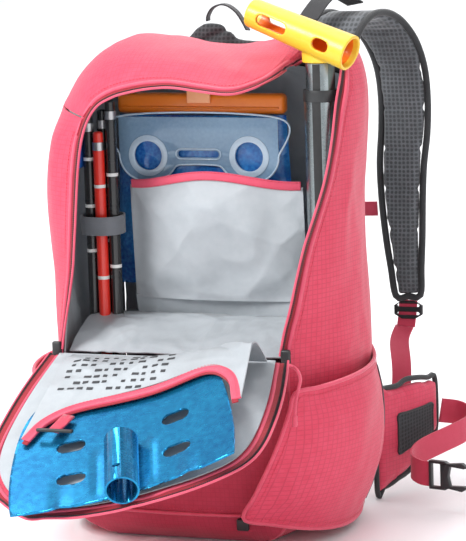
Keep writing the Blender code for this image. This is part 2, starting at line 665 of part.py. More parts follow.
def flap_plan(a, b, inset=0.0):
    steps = len(FLAP_LEFT) - 1
    left = smooth_point([(*p, 0) for p in FLAP_LEFT], steps * b)
    right = smooth_point([(*p, 0) for p in FLAP_RIGHT], steps * b)
    left.x += inset
    right.x -= inset
    point = left.lerp(right, a)
    return point.x, point.y * FLAP_LENGTH + 0.006 * b**4 * math.sin(math.pi * a) - inset * b**2


def blade_height(u, w):
    """Height of the blade's upper face over the hinge plane at a place on the flap."""
    across = (u - BLADE_U) * math.cos(BLADE_TURN) - (w - BLADE_W) * math.sin(BLADE_TURN)
    return BLADE_N + BLADE_ROLL * across + BLADE_DISH * min(1.3, abs(2 * across / BLADE_WIDTH))**2


def make_flap():
    def outside(a, b):
        u, w = flap_plan(a, b)
        return flap_point(u, w, flap_rise(u, w))

    def inside(a, b):
        u, w = flap_plan(a, b, 0.004)
        return flap_point(u, w, flap_rise(u, w) + LAYER_GAP)

    flap = sheet("front_flap", outside, 10, 10, FABRIC, CORAL, 1.0)
    lining = sheet("flap_lining", inside, 10, 10, LINING, LINING_GREY, -1.0)

    steps = len(HEM) - 1
    hem_line = [(*p, 0) for p in HEM]

    def pocket(a, b):
        edge = smooth_point(hem_line, steps * a)
        start_u = -0.100 + 0.195 * a
        u = start_u + (edge.x - start_u) * b
        w = 0.012 + (edge.y - 0.012) * b
        over = blade_height(u, w) + POCKET_CLEAR
        rise = min(1.0, (w - 0.012) / 0.022)
        return flap_point(u, w, 0.005 + flap_rise(u, w) * (1 - rise) + (over - 0.005) * rise)

    cover = sheet("blade_pocket", pocket, 12, 6, LINING, LINING_GREY, -1.0)
    hem = []
    for i in range(25):
        edge = smooth_point(hem_line, steps * i / 24)
        run = smooth_point(hem_line, steps * i / 24 + 0.05) - smooth_point(hem_line, steps * i / 24 - 0.05)
        u, w = edge.x - run.y / run.length * 0.0046, edge.y + run.x / run.length * 0.0046
        hem.append(flap_point(u, w, blade_height(u, w) + POCKET_CLEAR + 0.0006))
    hem = tube("blade_pocket_hem", hem, 0.0028, PIPING)
    tab_u, tab_w = -0.066, 0.1130
    tab = [flap_point(tab_u - 0.002 * i, tab_w + 0.009 * i, blade_height(tab_u, tab_w) + 0.0050 + 0.001 * i)
           for i in range(4)]
    tab = band("blade_tab", tab, (0.012, 0.012), WEBBING, (1.0, 0.0, 0.0), PIPING, count=5, columns=1)
    edge = [flap_plan(0.0, i / 12) for i in range(13)]
    edge += [flap_plan(i / 8, 1.0) for i in range(1, 8)]
    edge += [flap_plan(1.0, 1 - i / 12) for i in range(13)]
    line = []
    for u, w in edge:
        away = Vector((u - FLAP_MIDDLE, w - 0.09)).normalized() * 0.0030
        line.append(flap_point(u + away.x, w + max(away.y, 0.0), flap_rise(u, w)))
    track = tube("zip_track_flap", line, 0.0016, PIPING)
    carry("flap_axis", (FLAP_MIDDLE, HINGE_Y, HINGE_Z), flap, lining, cover, hem, tab, track)


def blade_frame():
    """Matrix of the blade: x across, y from its rear edge towards the hinge, z up."""
    x_axis = (Vector((1, 0, 0)) * math.cos(BLADE_TURN) - ALONG * math.sin(BLADE_TURN)
              + ABOVE * BLADE_ROLL).normalized()
    y_axis = -(Vector((1, 0, 0)) * math.sin(BLADE_TURN) + ALONG * math.cos(BLADE_TURN)).normalized()
    matrix = Matrix((x_axis, y_axis, x_axis.cross(y_axis))).transposed().to_4x4()
    matrix.translation = flap_point(BLADE_U, BLADE_W, BLADE_N)
    return matrix


def as_cutter(made):
    """Turns a plate into a closed cutter."""
    solid = to_mesh_object(made)
    PARTS.objects.unlink(solid)
    CUTTERS.objects.link(solid)
    solid.hide_render = True
    solid.display_type = "WIRE"
    return solid


def make_blade():
    """Dished blade with a socket for the shaft and rounded lightening holes."""
    frame = blade_frame()

    def surface(a, b):
        narrow = 1.0 - 0.16 * (1 - b)**2 - 0.10 * (1 - b)**8 - 0.03 * b**6
        x = BLADE_WIDTH * (a - 0.5) * narrow
        nose = 0.014 * (1 - abs(2 * a - 1)**3) * (1 - b)**2
        y = BLADE_DEPTH * (1 - b) + nose
        return frame @ Vector((x, y, BLADE_DISH * abs(2 * x / BLADE_WIDTH)**2))

    blade = sheet("shovel_blade", surface, 14, 8, BLADE_SHEET, BLADE_BLUE, 1.0)
    lift = SOCKET_RADIUS * 0.55
    past = 0.004
    along = frame @ Matrix.Translation((0.0, SOCKET_LENGTH / 2 - SOCKET_PROUD, lift))
    along = along @ Matrix.Rotation(math.radians(90), 4, "X")
    tube_mesh = cylinder("socket_tube", SOCKET_RADIUS, SOCKET_LENGTH, along, sides=20)
    combine(blade, helper("socket_tube", tube_mesh), "UNION")
    bore = cylinder("socket_bore", SOCKET_RADIUS - SOCKET_WALL, SOCKET_LENGTH + 2 * past, along, sides=20)
    combine(blade, helper("socket_bore", bore), "DIFFERENCE")
    for number, (x, y) in enumerate(BLADE_HOLES):
        place = frame @ Matrix.Translation((x, y, 0.0))
        hole = plate(f"blade_hole_{number}", [slot_outline(0.0135, 0.0075, count=4)], 0.03, BLADE_BLUE, place)
        combine(blade, as_cutter(hole), "DIFFERENCE")
    carry("blade_axis", frame.translation, blade)


# Side pockets ------------------------------------------------------------------------

def side_pocket(name, sign, front_shift):
    """Bellows pocket round the bag's front corner, open along its top.

    The lines give its inner side, and its cloth stands outside them.
    """
    front = ((0.0655, -0.122, 0.036), (0.1005, -0.123, 0.105), (0.1185, -0.115, 0.158))
    waist = ((0.1305, -0.045, 0.012), (0.1615, -0.035, 0.085), (0.1595, -0.030, 0.164))
    back = ((0.126, 0.064, 0.012), (0.1395, 0.068, 0.085), (0.1365, 0.070, 0.166))

    def surface(a, b):
        start, middle, end = (smooth_point(line, 2 * b) for line in (front, waist, back))
        control = middle * 2 - (start + end) / 2
        point = start * (1 - a)**2 + control * (2 * a * (1 - a)) + end * a**2
        return Vector((sign * (point.x + FABRIC + front_shift * (1 - a)), point.y, point.z))

    return sheet(name, surface, 8, 6, FABRIC, CORAL, -sign)


# Harness -----------------------------------------------------------------------------

def make_shoulder_strap(side, path, lower):
    strap = band(f"shoulder_strap_{side}", path, (0.050, 0.052, 0.054, 0.052, 0.050, 0.048, 0.040, 0.026),
                 STRAP_PAD, (1.0, 0.0, 0.0), STRAP_MESH, count=16)
    tip = Vector(path[-1])
    buckle = plate(f"ladder_buckle_{side}",
                   [slot_outline(0.0165, 0.0095, count=3), slot_outline(0.0125, 0.0018, (0.0, 0.0048), 2),
                    slot_outline(0.0125, 0.0018, (0.0, -0.0038), 2)], 0.004, BLACK_PLASTIC,
                   upright(tip.x, tip.y, tip.z - 0.0145))
    carry(f"yoke_axis_{side}", (path[0][0], YOKE_Y, YOKE_Z), strap)
    carry(f"ladder_axis_{side}", (tip.x, tip.y, tip.z - 0.004), buckle)
    band(f"lower_webbing_{side}", lower, (0.020, 0.020), WEBBING, (1.0, 0.0, 0.0), CORAL_WEB, count=9,
         columns=1)
    lifted = smooth_point(path, 2.2)
    sign = math.copysign(1.0, tip.x)
    lifter = ((sign * 0.068, 0.112, 0.482 if sign > 0 else 0.466),
              (sign * 0.078, 0.135, lifted.z + 0.018), (sign * 0.086, 0.158, lifted.z + 0.020),
              (lifted.x, lifted.y + 0.004, lifted.z + STRAP_PAD / 2 + 0.0035))
    band(f"load_lifter_{side}", lifter, (0.020, 0.020), WEBBING, (1.0, 0.0, 0.0), BLACK_WEB, count=8,
         columns=1)


def make_sternum_strap():
    band("sternum_webbing", ((0.0920, 0.2600, 0.272), (0.070, 0.262, 0.271), (0.0455, 0.262, 0.270)),
               (0.015, 0.015), WEBBING, (0.0, 0.0, 1.0), CORAL_WEB, count=5, columns=1)
    clip = prong_outline(0.017, 0.030)
    buckle = plate("sternum_buckle", clip, 0.005, BLACK_PLASTIC,
                   upright(0.0450 - 0.0006, 0.262, 0.270) @ Matrix.Rotation(math.pi, 4, "Z"))
    carry("sternum_axis", (0.0430, 0.262, 0.270), buckle)


def prong_outline(width, length):
    """Two-pronged clip with a webbing bar at its start, its length along +x."""
    half, frame, prong = width / 2, 0.0028, 0.0036
    edge = [(0.0, -half), (length * 0.42, -half), (length * 0.50, -half + 0.002), (length * 0.86, -half),
            (length * 0.93, -half + 0.002), (length, -half + prong + 0.001),
            (length * 0.92, -half + prong + 0.002), (length * 0.55, -half + prong + 0.001),
            (length * 0.50, 0.0)]
    upper = [(x, -y) for x, y in edge[:-1]][::-1]
    slot = [(frame, -half + frame), (length * 0.30, -half + frame), (length * 0.30, half - frame),
            (frame, half - frame)]
    return [edge + upper, slot]


def make_hip_belt(side, webbing):
    sign = 1.0 if side == "right" else -1.0

    def surface(a, b):
        station = (len(WING) - 1) * b
        x, y, z = smooth_point([p[:3] for p in WING], station)
        height = smooth_point([(p[3], 0, 0) for p in WING], station).x
        return Vector((sign * x, y, max(z + height * (a - 0.5), 0.003)))

    wing = sheet(f"hip_wing_{side}", surface, 4, 8, WING_PAD, CORAL, 0.0)
    web = band(f"hip_webbing_{side}", webbing, (0.025, 0.025), WEBBING, (0.0, 0.0, 1.0), CORAL_WEB,
               count=22 if side == "right" else 8, columns=1)
    carry(f"wing_axis_{side}", (sign * WING_AXIS_X, WING_AXIS_Y, 0.06), wing, web)


def make_hip_buckles():
    turn = math.radians(-12)
    male = plate("hip_buckle_male", prong_outline(0.029, 0.042), 0.006, BLACK_PLASTIC,
                 Matrix.Translation((0.1915, 0.0850, 0.0355)) @ Matrix.Rotation(turn, 4, "Z")
                 @ Matrix.Rotation(math.radians(90), 4, "X"))
    carry("male_axis", (0.1935, 0.0846, 0.0355), male)
    sleeve = [((-0.017, -0.0062), (0.017, -0.0062), (0.017, 0.0062), (-0.017, 0.0062)),
              ((-0.0145, -0.0038), (0.0145, -0.0038), (0.0145, 0.0038), (-0.0145, 0.0038))]
    lie = (Matrix.Translation((-0.2240, 0.2440, 0.056)) @ Matrix.Rotation(math.radians(-16), 4, "Z")
           @ Matrix.Rotation(math.radians(90), 4, "Y"))
    female = plate("hip_buckle_female", sleeve, 0.038, BLACK_PLASTIC, lie)
    carry("female_axis", (-0.2045, 0.2385, 0.057), female)


# Zip sliders -------------------------------------------------------------------------

def slider_block(name, low, high):
    return soften(place_object(name, box_mesh(name, low, high), BLACK_PLASTIC), 0.0012, 1)


def make_slider(side, hoop, cord):
    """Slider in front of the zip's foot, with a cord puller hanging from it."""
    foot = smooth_point(RIM, hoop)
    low = foot + Vector((-0.0045, -0.0100, -0.006))
    high = foot + Vector((0.0045, -0.0044, 0.008))
    slider = slider_block(f"zip_slider_{side}", low, high)
    start = foot + Vector((0.0, -0.0125, -0.004))
    line = smooth_path([start + Vector(step) for step in cord], 9)
    puller = tube(f"zip_puller_{side}", line, 0.0016, PIPING)
    carry(f"slider_axis_{side}", foot, slider)
    carry(f"puller_axis_{side}", start, puller)


def make_lower_slider():
    """Slider of the small zip across the foot of the front panel."""
    slider_block("zip_slider_lower", (0.052, -0.0995, 0.018), (0.064, -0.0940, 0.030))


# The scene ---------------------------------------------------------------------------

def main():
    make_bag()
    make_back_system()
    make_compartment_floor()
    make_reservoir_pocket()
    make_reservoir()
    make_probe()
    make_shaft()
    make_flap()
    make_blade()
    side_pocket("side_pocket_left", -1.0, 0.016)
    side_pocket("side_pocket_right", 1.0, 0.0)
    make_shoulder_strap("right", RIGHT_STRAP, RIGHT_LOWER)
    make_shoulder_strap("left", LEFT_STRAP, LEFT_LOWER)
    make_sternum_strap()
    make_hip_belt("right", RIGHT_HIP_WEBBING)
    make_hip_belt("left", LEFT_HIP_WEBBING)
    make_hip_buckles()
    make_slider("left", ZIP_FIRST, ((0, 0, 0), (-0.004, -0.001, -0.010), (-0.008, -0.002, -0.024)))
    make_slider("right", ZIP_LAST, ((0, 0, 0), (0.012, -0.002, -0.004), (0.020, -0.014, -0.012),
                                    (0.020, -0.0265, -0.024), (0.018, -0.0285, -0.044)))
    make_lower_slider()


clear_scene()
PARTS = bpy.data.collections.new("ski_backpack")
CUTTERS = bpy.data.collections.new("cutters")
for group in (PARTS, CUTTERS):
    bpy.context.scene.collection.children.link(group)

CORAL = make_material("coral_ripstop", (0.90, 0.17, 0.26), 0.75)
DEEP_RED = make_material("deep_red_fabric", (0.62, 0.03, 0.07), 0.8)
DUSKY = make_material("base_fabric", (0.70, 0.16, 0.24), 0.8)
PIPING = make_material("coral_piping", (0.95, 0.22, 0.32), 0.6)
CORAL_WEB = make_material("coral_webbing", (0.85, 0.13, 0.24), 0.7)
LINING_GREY = make_material("lining_fabric", (0.66, 0.69, 0.72), 0.6)
ELASTIC = make_material("grey_elastic", (0.28, 0.30, 0.33), 0.8)
MESH_BLACK = make_material("black_air_mesh", (0.03, 0.03, 0.035), 0.9)
STRAP_MESH = make_material("strap_mesh", (0.10, 0.11, 0.12), 0.9)
BLACK_WEB = make_material("black_webbing", (0.02, 0.02, 0.025), 0.8)
BLACK_PLASTIC = make_material("black_plastic", (0.02, 0.02, 0.02), 0.4)
STEEL = make_material("spring_steel", (0.5, 0.5, 0.5), 0.35, 1.0)
ALUMINIUM = make_material("silver_aluminium", (0.75, 0.77, 0.78), 0.25, 1.0)
BLADE_BLUE = make_material("blue_anodised_aluminium", (0.02, 0.36, 0.62), 0.3, 0.8)
YELLOW = make_material("yellow_plastic", (1.0, 0.66, 0.05), 0.35)
PROBE_BLACK = make_material("probe_black", (0.015, 0.015, 0.015), 0.3)
PROBE_RED = make_material("probe_red", (0.90, 0.07, 0.03), 0.35)
GRIP_BLUE = make_material("probe_grip_blue", (0.02, 0.20, 0.62), 0.4)
WATER_BLUE = make_material("reservoir_film", (0.02, 0.17, 0.58), 0.15)
ORANGE = make_material("orange_plastic", (0.95, 0.30, 0.03), 0.35)
PEACH = make_material("peach_plastic", (0.98, 0.48, 0.28), 0.4)
CLEAR_PLASTIC = make_material("clear_plastic", (0.45, 0.65, 0.88), 0.2)

main()
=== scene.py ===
"""Looks of a panel-opening ski touring backpack, standing open with its rescue gear stowed."""
import json
import logging
import math
from dataclasses import dataclass
from enum import Enum
from typing import Callable, Iterable, Optional, Sequence

import bmesh
import bpy
from mathutils import Matrix, Vector, noise
from mathutils.bvhtree import BVHTree
from mathutils.kdtree import KDTree


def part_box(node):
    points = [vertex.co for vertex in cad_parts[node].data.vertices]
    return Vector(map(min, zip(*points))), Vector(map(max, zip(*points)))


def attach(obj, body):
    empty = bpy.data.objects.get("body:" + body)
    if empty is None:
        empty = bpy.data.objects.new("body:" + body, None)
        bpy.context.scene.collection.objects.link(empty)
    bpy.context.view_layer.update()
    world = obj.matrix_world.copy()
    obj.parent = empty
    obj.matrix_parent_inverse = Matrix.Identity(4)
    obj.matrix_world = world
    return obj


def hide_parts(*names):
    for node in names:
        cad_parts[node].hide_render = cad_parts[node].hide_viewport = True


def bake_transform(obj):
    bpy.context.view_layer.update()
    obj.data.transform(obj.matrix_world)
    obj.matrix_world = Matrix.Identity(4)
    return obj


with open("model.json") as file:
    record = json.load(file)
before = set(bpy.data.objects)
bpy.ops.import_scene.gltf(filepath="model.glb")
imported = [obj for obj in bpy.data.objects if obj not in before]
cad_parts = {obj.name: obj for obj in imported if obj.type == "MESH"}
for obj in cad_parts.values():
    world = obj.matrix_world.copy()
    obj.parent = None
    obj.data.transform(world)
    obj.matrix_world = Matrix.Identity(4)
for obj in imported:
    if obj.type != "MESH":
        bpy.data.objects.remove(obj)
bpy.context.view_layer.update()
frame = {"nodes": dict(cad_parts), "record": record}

LOG = logging.getLogger("backpack")
Colour = tuple[float, float, float]
Field = Callable[[Vector, Vector], Vector]
SHARP = math.radians(48)


# Shader groups ---------------------------------------------------------------------------------

class ShaderWriter:
    """Adds nodes to one shader tree and joins them."""

    def __init__(self, tree: bpy.types.NodeTree) -> None:
        """Keeps the tree that the nodes go into.

        Args:
            tree: A material's tree or a group's tree.
        """
        self.tree = tree

    def add(self, kind: str, **settings: object) -> bpy.types.Node:
        """Adds one node.

        Args:
            kind: The node's type name.
            settings: Properties to set on it.

        Returns:
            The new node.
        """
        made = self.tree.nodes.new(kind)
        for key, value in settings.items():
            setattr(made, key, value)
        return made

    def feed(self, node: bpy.types.Node, **values: object) -> bpy.types.Node:
        """Sets or links inputs by name, with _ for a space.

        Args:
            node: The node to feed.
            values: A socket to link, or a plain value, for each input.

        Returns:
            The same node.
        """
        for key, value in values.items():
            socket = node.inputs[key.replace("_", " ")]
            if isinstance(value, bpy.types.NodeSocket):
                self.tree.links.new(value, socket)
            else:
                socket.default_value = value
        return node

    def maths(self, operation: str, *terms: object) -> bpy.types.NodeSocket:
        """Adds a Math node.

        Args:
            operation: Its operation.
            terms: Sockets or numbers for its inputs, in order.

        Returns:
            The result socket.
        """
        node = self.add("ShaderNodeMath", operation=operation)
        for socket, term in zip(node.inputs, terms):
            if isinstance(term, bpy.types.NodeSocket):
                self.tree.links.new(term, socket)
            else:
                socket.default_value = term
        return node.outputs[0]

    def blend(self, share: object, first: object, second: object) -> bpy.types.NodeSocket:
        """Mixes two colours.

        Args:
            share: How much of the second shows.
            first: Colour or socket.
            second: Colour or socket.

        Returns:
            The mixed colour.
        """
        node = self.add("ShaderNodeMix", data_type="RGBA")
        for number, value in ((0, share), (6, first), (7, second)):
            if isinstance(value, bpy.types.NodeSocket):
                self.tree.links.new(value, node.inputs[number])
            else:
                node.inputs[number].default_value = value
        return node.outputs[2]


def shader_group(name: str, inputs: Sequence[tuple], outputs: Sequence[tuple],
                 build: Callable[[ShaderWriter, dict, dict], None]) -> bpy.types.NodeTree:
    """Builds a shader group once.

    Args:
        name: The group's name.
        inputs: (name, socket type, default) for each input.
        outputs: (name, socket type) for each output.
        build: Fills the group from its writer, its input sockets and its output sockets.

    Returns:
        The group.
    """
    if name in bpy.data.node_groups:
        return bpy.data.node_groups[name]
    tree = bpy.data.node_groups.new(name, "ShaderNodeTree")
    for label, kind, default in inputs:
        socket = tree.interface.new_socket(name=label, in_out="INPUT", socket_type=kind)
        if default is not None:
            socket.default_value = default
    for label, kind in outputs:
        tree.interface.new_socket(name=label, in_out="OUTPUT", socket_type=kind)
    writer = ShaderWriter(tree)
    start, end = writer.add("NodeGroupInput"), writer.add("NodeGroupOutput")
    build(writer, {s.name: s for s in start.outputs}, {s.name: s for s in end.inputs})
    return tree


def ripstop_group() -> bpy.types.NodeTree:
    """Fine threads crossed by a grid of thicker ones, laid out on a cloth map in metres."""
    def build(w: ShaderWriter, given: dict, out: dict) -> None:
        """Draws the grid from the two map directions."""
        split = w.feed(w.add("ShaderNodeSeparateXYZ"), Vector=given["Map"])
        lines = []
        threads = []
        for axis in ("X", "Y"):
            place = w.maths("DIVIDE", split.outputs[axis], given["Pitch"])
            near = w.maths("PINGPONG", place, 0.5)
            ridge = w.add("ShaderNodeMapRange", interpolation_type="SMOOTHSTEP")
            w.feed(ridge, Value=near, From_Min=0.02, From_Max=0.12, To_Min=1.0, To_Max=0.0)
            lines.append(ridge.outputs[0])
            turn = w.maths("MULTIPLY", split.outputs[axis], given["Threads"])
            threads.append(w.maths("SINE", turn))
        grid = w.maths("MAXIMUM", *lines)
        fine = w.maths("MULTIPLY", *threads)
        height = w.maths("ADD", w.maths("MULTIPLY", grid, 0.8), w.maths("MULTIPLY", fine, 0.3))
        w.tree.links.new(height, out["Height"])
        w.tree.links.new(grid, out["Grid"])
    return shader_group("Ripstop threads",
                        [("Map", "NodeSocketVector", None), ("Pitch", "NodeSocketFloat", 0.004),
                         ("Threads", "NodeSocketFloat", 7000.0)],
                        [("Height", "NodeSocketFloat"), ("Grid", "NodeSocketFloat")], build)


def crease_group() -> bpy.types.NodeTree:
    """Soft folds and sharp small creases of thin cloth."""
    def build(w: ShaderWriter, given: dict, out: dict) -> None:
        """Adds broad noise to the slopes of crumpled cloth, which meet in soft ridges."""
        wide = w.feed(w.add("ShaderNodeTexNoise"), Vector=given["Place"], Scale=given["Scale"],
                      Detail=1.0, Distortion=0.3)
        bent = w.add("ShaderNodeVectorMath", operation="MULTIPLY_ADD")
        w.tree.links.new(wide.outputs["Color"], bent.inputs[0])
        bent.inputs[1].default_value = (0.02, 0.02, 0.02)
        w.tree.links.new(given["Place"], bent.inputs[2])
        facet = w.feed(w.add("ShaderNodeTexVoronoi", feature="SMOOTH_F1"), Vector=bent.outputs[0],
                       Scale=w.maths("MULTIPLY", given["Scale"], 1.2), Smoothness=0.12)
        fold = facet.outputs["Distance"]
        total = w.maths("ADD", wide.outputs["Fac"], w.maths("MULTIPLY", fold, given["Sharpness"]))
        w.tree.links.new(total, out["Height"])
        w.tree.links.new(fold, out["Fold"])
    return shader_group("Cloth creases",
                        [("Place", "NodeSocketVector", None), ("Scale", "NodeSocketFloat", 30.0),
                         ("Sharpness", "NodeSocketFloat", 0.6)],
                        [("Height", "NodeSocketFloat"), ("Fold", "NodeSocketFloat")], build)


def tone_group() -> bpy.types.NodeTree:
    """Uneven dye or pigment: a main colour that drifts towards a second one."""
    def build(w: ShaderWriter, given: dict, out: dict) -> None:
        """Mixes the two colours by a slow and a fine noise."""
        slow = w.feed(w.add("ShaderNodeTexNoise"), Vector=given["Place"], Scale=given["Scale"], Detail=2.0)
        fine = w.feed(w.add("ShaderNodeTexNoise"), Vector=given["Place"],
                      Scale=w.maths("MULTIPLY", given["Scale"], 14.0), Detail=4.0)
        share = w.maths("MULTIPLY", w.maths("ADD", slow.outputs["Fac"], fine.outputs["Fac"]), 0.5)
        spread = w.add("ShaderNodeMapRange")
        w.feed(spread, Value=share, From_Min=0.35, From_Max=0.65, To_Min=0.0, To_Max=given["Amount"])
        w.tree.links.new(w.blend(spread.outputs[0], given["Main"], given["Second"]), out["Color"])
        w.tree.links.new(share, out["Drift"])
    return shader_group("Uneven tone",
                        [("Place", "NodeSocketVector", None), ("Scale", "NodeSocketFloat", 9.0),
                         ("Main", "NodeSocketColor", None), ("Second", "NodeSocketColor", None),
                         ("Amount", "NodeSocketFloat", 0.5)],
                        [("Color", "NodeSocketColor"), ("Drift", "NodeSocketFloat")], build)


def scuff_group() -> bpy.types.NodeTree:
    """Fine moulding grain and a few rubbed patches, for plastics and metal."""
    def build(w: ShaderWriter, given: dict, out: dict) -> None:
        """Grain is fine noise and rubbed patches are the peaks of a slow one."""
        grain = w.feed(w.add("ShaderNodeTexNoise"), Vector=given["Place"], Scale=given["Grain"], Detail=3.0)
        rub = w.feed(w.add("ShaderNodeTexNoise"), Vector=given["Place"], Scale=34.0, Detail=5.0, Roughness=0.7)
        patch = w.add("ShaderNodeMapRange", interpolation_type="SMOOTHSTEP")
        w.feed(patch, Value=rub.outputs["Fac"], From_Min=0.5, From_Max=0.72)
        rough = w.maths("ADD", given["Roughness"], w.maths("MULTIPLY", patch.outputs[0], 0.12))
        w.tree.links.new(w.maths("ADD", rough, w.maths("MULTIPLY", grain.outputs["Fac"], 0.06)),
                         out["Roughness"])
        w.tree.links.new(grain.outputs["Fac"], out["Height"])
        w.tree.links.new(patch.outputs[0], out["Rubbed"])
    return shader_group("Moulding grain",
                        [("Place", "NodeSocketVector", None), ("Grain", "NodeSocketFloat", 900.0),
                         ("Roughness", "NodeSocketFloat", 0.4)],
                        [("Roughness", "NodeSocketFloat"), ("Height", "NodeSocketFloat"),
                         ("Rubbed", "NodeSocketFloat")], build)


# Finishes --------------------------------------------------------------------------------------

class Weave(Enum):
    """How a cloth is woven."""

    RIPSTOP = "ripstop"
    PLAIN = "plain"
    WEBBING = "webbing"
    SPACER_MESH = "spacer mesh"


@dataclass(frozen=True)
class ClothFinish:
    """A woven finish, with its colours and the size of its pattern in metres."""

    name: str
    main: Colour
    second: Colour
    weave: Weave = Weave.PLAIN
    pitch: float = 0.0045
    roughness: float = 0.75
    sheen: float = 0.25
    crease: float = 0.0
    crease_scale: float = 28.0
    coat: float = 0.0
    crumple: float = 0.25
    contrast: float = 0.22

    def material(self) -> bpy.types.Material:
        """Builds the material, or finds it if it was built before.

        Returns:
            The material.
        """
        if self.name in bpy.data.materials:
            return bpy.data.materials[self.name]
        made, w, shader = blank_material(self.name)
        place = w.add("ShaderNodeTexCoord").outputs["Object"]
        cloth_map = w.add("ShaderNodeUVMap", uv_map="cloth").outputs["UV"]
        tone = w.add("ShaderNodeGroup", node_tree=tone_group())
        w.feed(tone, Place=place, Main=(*self.main, 1), Second=(*self.second, 1), Amount=0.55)
        threads, dark = self.threads(w, cloth_map)
        shade = w.blend(w.maths("MULTIPLY", dark, self.contrast), tone.outputs["Color"],
                        (*[c * 0.55 for c in self.main], 1))
        rough = w.maths("ADD", self.roughness - 0.06, w.maths("MULTIPLY", tone.outputs["Drift"], 0.12))
        w.feed(shader, Base_Color=shade, Roughness=rough)
        shader.inputs["Sheen Weight"].default_value = self.sheen
        shader.inputs["Sheen Roughness"].default_value = 0.4
        shader.inputs["Coat Weight"].default_value = self.coat
        shader.inputs["Coat Roughness"].default_value = 0.3
        folds = w.add("ShaderNodeGroup", node_tree=crease_group())
        w.feed(folds, Place=place, Scale=self.crease_scale, Sharpness=self.crumple)
        broad = w.feed(w.add("ShaderNodeBump"), Height=folds.outputs["Height"], Strength=0.7,
                       Distance=self.crease)
        bump = w.feed(w.add("ShaderNodeBump"), Height=threads, Strength=0.35, Distance=0.0004,
                      Normal=broad.outputs[0])
        w.feed(shader, Normal=bump.outputs[0])
        return made

    def threads(self, w: ShaderWriter, cloth_map: bpy.types.NodeSocket) -> tuple:
        """Draws the weave on the cloth map.

        Args:
            w: Writer of the material's tree.
            cloth_map: Map of the cloth in metres.

        Returns:
            (height, darker part) sockets.
        """
        if self.weave in (Weave.RIPSTOP, Weave.PLAIN):
            grid = w.add("ShaderNodeGroup", node_tree=ripstop_group())
            w.feed(grid, Map=cloth_map, Pitch=self.pitch)
            return grid.outputs["Height"], grid.outputs["Grid"]
        if self.weave is Weave.WEBBING:
            ribs = w.feed(w.add("ShaderNodeTexWave", wave_type="BANDS", bands_direction="DIAGONAL"),
                          Vector=cloth_map, Scale=1.2 / self.pitch, Distortion=0.6, Detail=1.0)
            return ribs.outputs["Fac"], w.maths("SUBTRACT", 1.0, ribs.outputs["Fac"])
        cells = w.add("ShaderNodeTexVoronoi", feature="F1", voronoi_dimensions="2D")
        w.feed(cells, Vector=cloth_map, Scale=1.0 / self.pitch, Randomness=0.12)
        hole = w.add("ShaderNodeMapRange", interpolation_type="SMOOTHSTEP")
        w.feed(hole, Value=cells.outputs["Distance"], From_Min=0.22, From_Max=0.5, To_Min=1.0, To_Max=0.0)
        return w.maths("SUBTRACT", 1.0, hole.outputs[0]), hole.outputs[0]


@dataclass(frozen=True)
class MouldedFinish:
    """A plastic finish with a fine grain."""

    name: str
    main: Colour
    second: Colour
    roughness: float = 0.4
    grain: float = 900.0
    coat: float = 0.0
    bump: float = 0.00006

    def material(self) -> bpy.types.Material:
        """Builds the material, or finds it if it was built before.

        Returns:
            The material.
        """
        if self.name in bpy.data.materials:
            return bpy.data.materials[self.name]
        made, w, shader = blank_material(self.name)
        place = w.add("ShaderNodeTexCoord").outputs["Object"]
        tone = w.add("ShaderNodeGroup", node_tree=tone_group())
        w.feed(tone, Place=place, Scale=16.0, Main=(*self.main, 1), Second=(*self.second, 1), Amount=0.5)
        scuff = w.add("ShaderNodeGroup", node_tree=scuff_group())
        w.feed(scuff, Place=place, Grain=self.grain, Roughness=self.roughness)
        bump = w.feed(w.add("ShaderNodeBump"), Height=scuff.outputs["Height"], Strength=0.5,
                      Distance=self.bump)
        w.feed(shader, Base_Color=tone.outputs["Color"], Roughness=scuff.outputs["Roughness"],
               Normal=bump.outputs[0])
        shader.inputs["Coat Weight"].default_value = self.coat
        shader.inputs["Coat Roughness"].default_value = 0.12
        return made


@dataclass(frozen=True)
class MetalFinish:
    """A metal finish, brushed along one direction."""

    name: str
    main: Colour
    second: Colour
    roughness: float = 0.25
    stretch: Colour = (600.0, 600.0, 12.0)
    metallic: float = 1.0

    def material(self) -> bpy.types.Material:
        """Builds the material, or finds it if it was built before.

        Returns:
            The material.
        """
        if self.name in bpy.data.materials:
            return bpy.data.materials[self.name]
        made, w, shader = blank_material(self.name)
        place = w.add("ShaderNodeTexCoord").outputs["Object"]
        turned = w.feed(w.add("ShaderNodeMapping"), Vector=place, Scale=self.stretch)
        lines = w.feed(w.add("ShaderNodeTexNoise"), Vector=turned.outputs[0], Scale=1.0, Detail=5.0)
        tone = w.add("ShaderNodeGroup", node_tree=tone_group())
        w.feed(tone, Place=place, Scale=12.0, Main=(*self.main, 1), Second=(*self.second, 1), Amount=0.7)
        scuff = w.add("ShaderNodeGroup", node_tree=scuff_group())
        w.feed(scuff, Place=place, Grain=500.0, Roughness=self.roughness)
        rough = w.maths("ADD", scuff.outputs["Roughness"],
                        w.maths("MULTIPLY", w.maths("SUBTRACT", lines.outputs["Fac"], 0.5), 0.18))
        bump = w.feed(w.add("ShaderNodeBump"), Height=lines.outputs["Fac"], Strength=0.25, Distance=0.00004)
        w.feed(shader, Base_Color=tone.outputs["Color"], Roughness=rough, Normal=bump.outputs[0])
        shader.inputs["Metallic"].default_value = self.metallic
        return made


